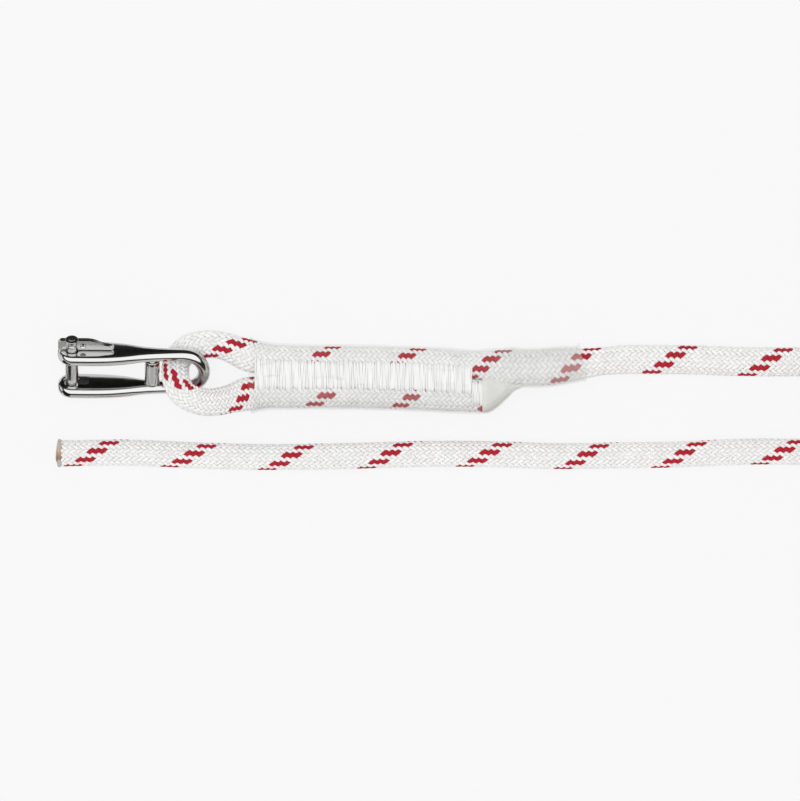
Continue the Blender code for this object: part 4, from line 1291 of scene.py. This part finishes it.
def cut_core_mesh(line, sleeve):
    """The short leg's core past its cut end, tapering out inside the film."""
    run_leg, _ = leg_centres(line)
    rings = []
    for x, section in zip(CUT_LEG, sleeve_rings(line, sleeve, -0.05 * MM, CUT_LEG)):
        low = section[section[:, 1].argmin()]
        tall = (section[:, 2].max() - section[:, 2].min()) / 2
        sink = smooth_step((x - CUT_LEG[1]) / (CUT_LEG[-1] - CUT_LEG[1]))
        top = run_leg(x)[0] - (2.5 + 2.0 * sink) * MM
        middle, reach = (top + low[1]) / 2, (top - low[1]) / 2
        turn = np.arange(CUT_LEG_SIDES) * 2 * math.pi / CUT_LEG_SIDES
        y = middle + reach * np.cos(turn)
        z = low[2] + (0.95 - 0.45 * sink) * tall * np.sign(np.sin(turn)) * np.abs(np.sin(turn)) ** 0.8
        rings.append(np.stack([np.full(CUT_LEG_SIDES, x), y, z], axis=1))
    return finished(skin(rings), "cut_core", smooth_below=60)


def end_seal_mesh(seal):
    """Fused fibre over the cut end: a shallow dome within a flared, uneven rim."""
    centre = np.array((END_SEAL_AT, TAIL_ROUTE[0][1] * MM, END_SEAL_HEIGHT))
    angles = np.arange(END_SEAL_SIDES) * 2 * math.pi / END_SEAL_SIDES
    rings = []
    for share, depth in END_SEAL_PROFILE:
        rough = 1 + (0.015 * np.sin(angles * 5 + 1) + 0.010 * np.sin(angles * 13 + depth * 9)) * share
        dent = 0.08 * MM * np.sin(angles * 3 + share * 7) * share
        low = 0.12 * MM * share * (1 - share) * 4 * np.cos(angles)
        y, z = seal.radius * share * rough * np.cos(angles), seal.radius * share * rough * np.sin(angles)
        rings.append(centre + np.stack([depth * MM + dent + low, y, z], axis=1))
    return finished(skin(rings), "seal", smooth_below=60)


def strap_mesh(strap):
    """A flat strap drawn tight round the waist of the hank."""
    half_wide, half_high = HANK_HALF_WIDTH * (1 - HANK_WAIST), HANK_HEIGHT / 2 * (1 - HANK_WAIST)
    corner = 4.0 * MM

    def loop(grow):
        """Points (Y, Z) round the waist, this far off it."""
        points = rounded_rectangle(half_wide + grow, half_high + grow, corner + grow, 9)
        return [(HANK_CENTRE.y + y, HANK_HEIGHT / 2 + z) for y, z in points]

    half, edge = strap.width / 2, 0.35 * MM
    inner = 0.55 * MM
    outer = inner + strap.thick
    section = [(-half, inner + edge), (-half, outer - edge), (-half + edge, outer), (half - edge, outer),
               (half, outer - edge), (half, inner + edge), (half - edge, inner), (-half + edge, inner)]
    rings = np.array([[(HANK_CENTRE.x + x, y, z) for y, z in loop(grow)] for x, grow in section])
    around, across = lengths_of(rings[0]) / MM, lengths_of(rings[:, 0]) / MM
    bm = skin(rings, loop=True, uv=lambda i, j: (around[j % len(around)], across[i % len(across)]))
    return finished(bm, "strap", smooth_below=50)


def opaque(colour):
    """A colour with its alpha; a wire, a socket or a number stays what it is."""
    return (*colour, 1.0) if isinstance(colour, (tuple, list)) and len(colour) == 3 else colour


def new_material(name, **constants):
    """A material with its shader's plain inputs set; returns it, its tree and its shader."""
    made = bpy.data.materials.new(name)
    made.use_nodes = True
    tree = made.node_tree
    shader = tree.nodes["Principled BSDF"]
    for label, value in constants.items():
        shader.inputs[label.replace("_", " ")].default_value = opaque(value)
    return made, tree, shader


def mix_colour(tree, factor, first, second, blend="MIX"):
    """Two colours mixed by a factor."""
    made = node(tree, "ShaderNodeMix", {"data_type": "RGBA", "blend_type": blend})
    for place, value in ((0, factor), (6, first), (7, second)):
        feed(tree, made.inputs[place], opaque(value))
    return made.outputs[2]


def tinted(tree, colour, tint):
    """A colour multiplied by a number."""
    grey = node(tree, "ShaderNodeCombineXYZ", X=tint, Y=tint, Z=tint).outputs[0]
    return mix_colour(tree, 1.0, colour, grey, "MULTIPLY")


def bump(tree, shader, height, strength, distance):
    """Raise the shader's surface by this height."""
    raised = node(tree, "ShaderNodeBump", Strength=strength, Distance=distance, Height=height)
    tree.links.new(raised.outputs[0], shader.inputs["Normal"])


def attribute(tree, name):
    """A mesh attribute as a wire."""
    made = node(tree, "ShaderNodeAttribute", {"attribute_name": name})
    return Wire(tree, made.outputs["Fac"])


def own_place(tree):
    """The socket of the piece's own coordinates, which are the frame's."""
    return tree.nodes.new("ShaderNodeTexCoord").outputs["Object"]


def uv_place(tree):
    """The socket of the piece's UVs."""
    return node(tree, "ShaderNodeUVMap", {"uv_map": "UVMap"}).outputs[0]


def noise(tree, waves, detail, turn=(0.0, 0.0, 0.0)):
    """Noise with this many waves in a metre along each axis."""
    place = node(tree, "ShaderNodeMapping", Vector=own_place(tree), Scale=waves, Rotation=turn).outputs[0]
    return Wire(tree, node(tree, "ShaderNodeTexNoise", Vector=place, Scale=1.0, Detail=detail).outputs[0])


def braided_cover(rope):
    """Strands of white filament with a tracer, for the braid that is modelled float by float."""
    made, tree, shader = new_material("braided_cover", Roughness=0.65, Specular_IOR_Level=0.3)
    colour = mix_colour(tree, attribute(tree, "tracer"), rope.cover[:], rope.tracer[:])
    colour = tinted(tree, colour, attribute(tree, "shade") * 0.08 + 0.94)
    tree.links.new(colour, shader.inputs["Base Color"])
    place = node(tree, "ShaderNodeMapping", Vector=uv_place(tree), Scale=(3.0, 22.0, 1.0)).outputs[0]
    fibres = node(tree, "ShaderNodeTexNoise", {"noise_dimensions": "2D"}, Vector=place, Scale=1.0, Detail=2.0)
    bump(tree, shader, fibres.outputs[0], strength=0.35, distance=0.12 * MM)
    return made


def hank_cover(rope):
    """The same braid where the rope is only a tube."""
    made, tree, shader = new_material("hank_cover", Roughness=0.65, Specular_IOR_Level=0.3)
    pattern = node(tree, "ShaderNodeGroup", {"node_tree": braid_pattern_group()},
                   Place=uv_place(tree), Tracer_Strands=float(rope.tracer_strands))
    colour = mix_colour(tree, pattern.outputs["Tracer"], rope.cover[:], rope.tracer[:])
    depth = Wire(tree, pattern.outputs["Height"])
    # Painted shade: the base colour darkens down in the grooves between the strands
    tree.links.new(tinted(tree, colour, depth * 0.45 + 0.55), shader.inputs["Base Color"])
    bump(tree, shader, depth, strength=1.0, distance=rope.relief)
    return made


def braid_pattern_group():
    """Shader group: a 2/2 braid from leads along (X) and turns round (Y)."""
    tree, read, end = new_tree("Braid pattern", "ShaderNodeTree", {
        "Place": ("Vector", None), "Tracer Strands": ("Float", 3.0),
    }, [("Height", "Float"), ("Tracer", "Float")])
    lead, turn, _ = components(tree, read("Place"))
    lead, turn = lead * CELLS, turn * CELLS
    p, q = (lead + turn) / 2, (lead - turn) / 2
    cell_p, cell_q = (p + 0.5).floor(), (q + 0.5).floor()
    kind = (cell_p - cell_q).wrap(4)
    is_right = kind.below(1.5)
    is_left = (is_right * -1) + 1
    along_right = p - cell_p + kind - 0.5
    along_left = q - cell_q - kind + 2.5
    along = along_right * is_right + along_left * is_left
    over = (q - cell_q) * is_right + (p - cell_p) * is_left
    height = ((along.power(FLOAT_FALL[0]) + (over * 2).power(FLOAT_FALL[1])) * -0.5) + 1
    tracer = (cell_p + 1).wrap(ROWS).below(read("Tracer Strands")) * is_left
    tree.links.new(height.math("MAXIMUM", 0.0).socket, end.inputs["Height"])
    tree.links.new(tracer.socket, end.inputs["Tracer"])
    return tree


def stainless_steel(name, dullness):
    """Stainless steel with fine wipe marks and a few scratches, and painted shade on the key slot's walls."""
    made, tree, shader = new_material(name, Metallic=1.0, Roughness=0.1)
    slot_shade_rough = attribute(tree, "slot_rough_and_shaded")
    # Painted shade: the key slot's walls get a near-black base colour, and they are also rougher
    tree.links.new(mix_colour(tree, slot_shade_rough, (0.62, 0.62, 0.61), (0.10, 0.10, 0.10)), shader.inputs["Base Color"])
    smear = noise(tree, (600.0, 600.0, 600.0), detail=3.0)
    lines = noise(tree, (900.0, 9000.0, 9000.0), detail=1.0, turn=(SHACKLE_TILT, 0, 0))
    rough = smear * (dullness * 2) + lines * 0.05 + slot_shade_rough * 0.3 + dullness
    tree.links.new(rough.socket, shader.inputs["Roughness"])
    bump(tree, shader, lines, strength=0.02 + dullness, distance=0.02 * MM)
    return made


def clear_film():
    """Clear shrunk film: faintly grey, denser where it is seen at a slant and along its creases."""
    made, tree, shader = new_material("clear_film", Roughness=0.1, Specular_IOR_Level=1.0, Coat_Weight=1.0)
    along, _, _ = components(tree, own_place(tree))
    milky = ramp(tree, along * 10, [(0.0, 0.0), (0.43, 0.0), (0.52, 1.0), (1.0, 1.0)])
    colour = mix_colour(tree, milky, (0.52, 0.53, 0.51), (0.80, 0.81, 0.79))
    tree.links.new(colour, shader.inputs["Base Color"])
    slant = Wire(tree, node(tree, "ShaderNodeLayerWeight", Blend=0.3).outputs["Facing"])
    cloud = noise(tree, (120.0, 500.0, 500.0), detail=3.0)
    crease = ramp(tree, cloud, [(0.0, 0.0), (0.58, 0.0), (0.75, 1.0), (1.0, 1.0)])
    alpha = slant.power(2) * 0.2 + crease * 0.08 + attribute(tree, "veil")
    tree.links.new(alpha.socket, shader.inputs["Alpha"])
    bump(tree, shader, noise(tree, (1500.0, 350.0, 350.0), detail=2.0), strength=0.5, distance=0.2 * MM)
    return made


def sewing_thread():
    """Twisted white thread."""
    made, tree, shader = new_material("sewing_thread", Roughness=0.55)
    tint = attribute(tree, "shade") * 0.05 + 0.95
    colour = node(tree, "ShaderNodeCombineXYZ", X=tint, Y=tint, Z=tint * 0.98).outputs[0]
    tree.links.new(colour, shader.inputs["Base Color"])
    return made


def core_fibre():
    """Straight filament of the core, matted where it is cut."""
    made, tree, shader = new_material("core_fibre", Roughness=0.8)
    grain = noise(tree, (300.0, 2500.0, 2500.0), detail=2.0)
    colour = mix_colour(tree, grain, (0.74, 0.74, 0.69), (0.90, 0.90, 0.87))
    tree.links.new(colour, shader.inputs["Base Color"])
    bump(tree, shader, grain, strength=0.6, distance=0.2 * MM)
    return made


def fused_fibre(seal):
    """Melted fibre: a browned core that shows on the upper side, in a pale rim of melted cover."""
    made, tree, shader = new_material("fused_fibre", Roughness=0.45)
    spots = noise(tree, (900.0, 900.0, 900.0), detail=4.0)
    _, across, high = components(tree, own_place(tree))
    across = across - TAIL_ROUTE[0][1] * MM
    high = (high - BROWN_HEIGHT) / (seal.core * BROWN_TALLER)
    from_axis = (across / seal.core).power(2) + high.power(2)
    pale = ramp(tree, from_axis * 0.5 + spots * 0.2 - 0.1, [(0.0, 0.0), (0.40, 0.0), (0.56, 1.0), (1.0, 1.0)])
    burnt = ramp(tree, across * -160.0 + spots * 0.7, [(0.0, 0.0), (0.2, 0.15), (0.7, 1.0), (1.0, 1.0)])
    core = mix_colour(tree, burnt, seal.colour[:], seal.brown[:])
    tree.links.new(mix_colour(tree, pale, core, (0.50, 0.50, 0.46)), shader.inputs["Base Color"])
    bump(tree, shader, spots, strength=0.5, distance=0.3 * MM)
    return made


def woven_strap(strap):
    """Plain weave in one dark colour."""
    made, tree, shader = new_material("woven_strap", Roughness=0.7, Sheen_Weight=0.3, Sheen_Roughness=0.5)
    along, across, _ = components(tree, uv_place(tree))
    warp, weft = (
        (place * (2 * math.pi / pitch)).math("SINE") for place, pitch in zip((along, across), STRAP_WEAVE)
    )
    weave = warp * weft * 0.5 + 0.5
    dark, light = (tuple(c * share for c in strap.colour) for share in (0.5, 1.6))
    tree.links.new(mix_colour(tree, weave, dark, light), shader.inputs["Base Color"])
    bump(tree, shader, weave, strength=0.7, distance=0.3 * MM)
    return made


def staged(name, corners, finish, place):
    """A flat sheet of the stage."""
    sheet = bpy.data.meshes.new(name)
    sheet.from_pydata(corners, [], [tuple(range(len(corners)))])
    sheet.materials.append(finish)
    made = bpy.data.objects.new(name, sheet)
    made.location = place
    bpy.context.scene.collection.objects.link(made)
    return made


def floor_paper(stage):
    """Pale paper: mostly its own even tone to the camera, with some of the object's shadow left on it."""
    made, tree, shader = new_material(
        "floor_paper", Base_Color=stage.floor[:], Roughness=0.9, Specular_IOR_Level=0.0
    )
    glow = node(tree, "ShaderNodeEmission", Color=(*stage.floor[:], 1.0), Strength=1.0)
    path = tree.nodes.new("ShaderNodeLightPath")
    seen = Wire(tree, path.outputs["Is Camera Ray"])
    for label in ("Is Glossy Ray", "Is Transmission Ray"):
        seen = seen.math("MAXIMUM", path.outputs[label])
    both = node(tree, "ShaderNodeMixShader", Fac=seen * stage.evenness)
    tree.links.new(shader.outputs[0], both.inputs[1])
    tree.links.new(glow.outputs[0], both.inputs[2])
    tree.links.new(both.outputs[0], tree.nodes["Material Output"].inputs["Surface"])
    return made


def studio_world(stage):
    """Even light from all round; polished metal sees a bright sky in front and a dark room behind."""
    made = bpy.data.worlds.new("studio")
    made.use_nodes = True
    tree = made.node_tree
    path = tree.nodes.new("ShaderNodeLightPath")
    _, back, up = components(tree, tree.nodes.new("ShaderNodeTexCoord").outputs["Generated"])
    ring = ramp(tree, up, [(0.0, 0.75), (0.20, 0.60), (0.24, 0.03), (0.55, 0.03), (0.62, 1.45), (1.0, 1.45)])
    room = ramp(tree, back * 0.5 + 0.5, [(0.0, 0.0), (0.74, 0.0), (0.78, 1.0), (1.0, 1.0)])
    mirrored = ring * (room * -1 + 1) + room * 0.03
    glossy = Wire(tree, path.outputs["Is Glossy Ray"])
    seen = Wire(tree, path.outputs["Is Camera Ray"]).math("MAXIMUM", path.outputs["Is Transmission Ray"])
    strength = seen * (stage.floor[0] - stage.sky) + stage.sky
    strength = strength * (glossy * -1 + 1) + mirrored * glossy
    sky = tree.nodes["Background"]
    sky.inputs["Color"].default_value = (1.0, 1.0, 1.0, 1.0)
    tree.links.new(strength.socket, sky.inputs["Strength"])
    return made


def ramp(tree, value, stops):
    """A number read from these (place, value) stops, straight between them."""
    made = node(tree, "ShaderNodeFloatCurve", Value=value)
    points = made.mapping.curves[0].points
    made.mapping.use_clip = False
    while len(points) < len(stops):
        points.new(0.5, 0.5)
    for point, (place, height) in zip(points, stops):
        point.location = (place, height)
        point.handle_type = "VECTOR"
    made.mapping.update()
    return Wire(tree, made.outputs[0])


class HALYARD_OT_rope(bpy.types.Operator):
    """Lay the rope: the braid of the eye, the run and the tail, and the folded length"""

    bl_idname = "halyard.rope"
    bl_label = "Rope"

    def execute(self, context):
        rope, hank = context.scene.halyard_rope, context.scene.halyard_hank
        tree, cover = braid_tree(), braided_cover(rope)
        long, tail = eye_and_run(rope), tail_stretch(rope)
        crown = int(np.argmin(long.line[:, 0]))
        at_exit = long.leads[crown:][np.argmax(long.line[crown:, 0] > EXIT.x)]
        first, cut, last = (round(ROWS * lead) for lead in (long.leads[0], at_exit, long.leads[-1]))
        tail_first, tail_last = (round(ROWS * lead) for lead in (tail.leads[0], tail.leads[-1]))
        for name, stretch, row, past, seed, stands_for in (
            ("eye_braid", long, first + 1, cut, 3, ["eye_cover"]),
            ("run_braid", long, cut, last - 1, 4, []),
            ("tail_braid", tail, tail_first + 1, tail_last - 1, 5, []),
        ):
            braid = stretch.braid(tree, name, row, past, rope, cover, seed)
            put(name, braid, None, "rope", "rope_cover", *stands_for)
        mesh, _ = free_rope_mesh(rope, hank, long, tail)
        stands_for = "standing_run", "rope_hank", "tail_run"
        put("free_rope", mesh, hank_cover(rope), "rope", "rope_cover", *stands_for)
        return {"FINISHED"}


class HALYARD_OT_sewing(bpy.types.Operator):
    """Sew the two legs of the eye together"""

    bl_idname = "halyard.sewing"
    bl_label = "Sewing"

    def execute(self, context):
        sewing = context.scene.halyard_sewing
        line = eye_and_run(context.scene.halyard_rope).line
        points, way, count = stitch_ends(sewing, line)
        source = bpy.data.meshes.new("threads")
        source.from_pydata([tuple(p) for p in points], [], [])
        write_values(source, "way", way)
        mesh = bake_nodes(source, stitch_tree(), {
            "Count": count, "Thread": sewing.thread / 2, "Raggedness": sewing.raggedness,
            "Sag": sewing.sag, "Seed": 7, "Material": sewing_thread(),
        }, "stitch_threads")
        drop_attributes(mesh, "thread", "near_end", "far_end", "lean", "way")
        both = bmesh.new()
        both.from_mesh(mesh)
        both.from_mesh(sewn_bed_mesh(sewing, line))
        both.to_mesh(mesh)
        both.free()
        put("stitch_threads", mesh, None, "rope", "stitch_thread", "stitching")
        fibre, core = core_fibre(), bpy.data.objects["eye_core"]
        core.data.materials.clear()
        core.data.materials.append(fibre)
        put("cut_core", cut_core_mesh(line, context.scene.halyard_sleeve), fibre, "rope", "rope_core")
        return {"FINISHED"}


class HALYARD_OT_sleeve(bpy.types.Operator):
    """Shrink the clear sleeve over the sewn legs"""

    bl_idname = "halyard.sleeve"
    bl_label = "Sleeve"

    def execute(self, context):
        line = eye_and_run(context.scene.halyard_rope).line
        mesh = sleeve_mesh(line, context.scene.halyard_sleeve)
        put("sleeve_film", mesh, clear_film(), "rope", "clear_sleeve", "shrink_sleeve")
        return {"FINISHED"}


class HALYARD_OT_ends(bpy.types.Operator):
    """Seal the tail's end and tie the hank; the free rope's line is worked out but not used"""

    bl_idname = "halyard.ends"
    bl_label = "Sealed end and strap"

    def execute(self, context):
        scene = context.scene
        seal, strap = scene.halyard_seal, scene.halyard_strap
        rope, hank = scene.halyard_rope, scene.halyard_hank
        put("sealed_end", end_seal_mesh(seal), fused_fibre(seal), "rope", "fused_end", "end_seal")
        put("strap_band", strap_mesh(strap), woven_strap(strap), "rope", "tie_strap", "hank_tie")
        _, line = free_rope_mesh(rope, hank, eye_and_run(rope), tail_stretch(rope))
        return {"FINISHED"}


class HALYARD_OT_shackle(bpy.types.Operator):
    """Forge the shackle with its cross bar and key pin"""

    bl_idname = "halyard.shackle"
    bl_label = "Shackle"

    def execute(self, context):
        shackle = context.scene.halyard_shackle
        steel, satin = stainless_steel("polished_steel", 0.04), stainless_steel("satin_steel", 0.10)
        put("shackle_forging", shackle_mesh(shackle), steel, "shackle", "polished_steel", "shackle_body")
        put("bar", cross_bar_mesh(shackle), steel, "shackle", "polished_steel", "cross_bar")
        put("pin_with_handle", key_pin_mesh(shackle), satin, "pin", "polished_steel", "key_pin")
        return {"FINISHED"}


class HALYARD_OT_stage(bpy.types.Operator):
    """Set up the floor, the light and the camera"""

    bl_idname = "halyard.stage"
    bl_label = "Stage"

    def execute(self, context):
        scene = context.scene
        stage = scene.halyard_stage
        sides = (-FLOOR_REACH, -FLOOR_REACH), (FLOOR_REACH, -FLOOR_REACH), (FLOOR_REACH, FLOOR_REACH)
        corners = [(x, y, 0) for x, y in (*sides, (-FLOOR_REACH, FLOOR_REACH))]
        staged("floor", corners, floor_paper(stage), (0, 0, FLOOR_AT))
        board, _, _ = new_material(
            "dark_board", Base_Color=(0.02, 0.02, 0.02), Roughness=0.9, Specular_IOR_Level=0.0
        )
        for number, (near, far, high) in enumerate(DARK_BOARDS):
            corners = [(*near, 0), (*far, 0), (*far, high), (*near, high)]
            dark = staged(f"dark_board_{number}", corners, board, (0, 0, 0))
            dark.visible_camera = dark.visible_diffuse = False
            dark.visible_shadow = dark.visible_transmission = False

        scene.world = studio_world(stage)
        lamp = bpy.data.lights.new("lamp", "SUN")
        lean = LAMP_WAY.normalized()
        lamp.energy = stage.lamp * math.pi / -lean.z
        lamp.angle = LAMP_SPREAD
        shine = bpy.data.objects.new("lamp", lamp)
        shine.rotation_euler = lean.to_track_quat("-Z", "Y").to_euler()
        shine.visible_glossy = False
        scene.collection.objects.link(shine)

        camera = bpy.data.cameras.new("camera")
        camera.lens, camera.sensor_width = stage.lens, 36.0
        camera.clip_start, camera.clip_end = 0.1, 100.0
        wide, high = PICTURE
        distance = stage.width * high / wide * camera.lens / camera.sensor_width
        right = (wide / 2 - ORIGIN_PIXEL[0]) / PIXELS_PER_MM * MM
        up = (ORIGIN_PIXEL[1] - high / 2) / PIXELS_PER_MM * MM
        holder = bpy.data.objects.new("camera", camera)
        holder.location = right, up, distance
        scene.collection.objects.link(holder)
        scene.camera = holder
        scene.view_settings.view_transform = "Standard"
        return {"FINISHED"}


class HALYARD_PT_panel(bpy.types.Panel):
    """Builds the halyard, piece by piece"""

    bl_idname = "HALYARD_PT_panel"
    bl_label = "Halyard"
    bl_space_type = "VIEW_3D"
    bl_region_type = "UI"
    bl_category = "Halyard"

    def draw(self, context):
        for settings in SETTINGS:
            box = self.layout.box()
            group = getattr(context.scene, settings)
            for name in group.__annotations__:
                box.prop(group, name)
        for step in STEPS:
            self.layout.operator(step)


SETTINGS = {
    "halyard_rope": HalyardRope, "halyard_hank": HalyardHank, "halyard_sewing": HalyardSewing,
    "halyard_sleeve": HalyardSleeve, "halyard_seal": HalyardSeal, "halyard_strap": HalyardStrap,
    "halyard_shackle": HalyardShackle, "halyard_stage": HalyardStage,
}
OPERATORS = (
    HALYARD_OT_rope, HALYARD_OT_sewing, HALYARD_OT_sleeve, HALYARD_OT_ends, HALYARD_OT_shackle,
    HALYARD_OT_stage,
)
STEPS = [step.bl_idname for step in OPERATORS]


def register():
    """Make the settings, the operators and the panel known."""
    for made in (*SETTINGS.values(), *OPERATORS, HALYARD_PT_panel):
        bpy.utils.register_class(made)
    for name, group in SETTINGS.items():
        setattr(bpy.types.Scene, name, PointerProperty(type=group))


def unregister():
    """Take them out again, last one first."""
    for name in SETTINGS:
        delattr(bpy.types.Scene, name)
    for made in (HALYARD_PT_panel, *reversed(OPERATORS), *reversed(SETTINGS.values())):
        bpy.utils.unregister_class(made)


def main():
    """Build every piece in its order."""
    register()
    for step in STEPS:
        area, name = step.split(".")
        getattr(getattr(bpy.ops, area), name)()


if __name__ == "__main__":
    main()
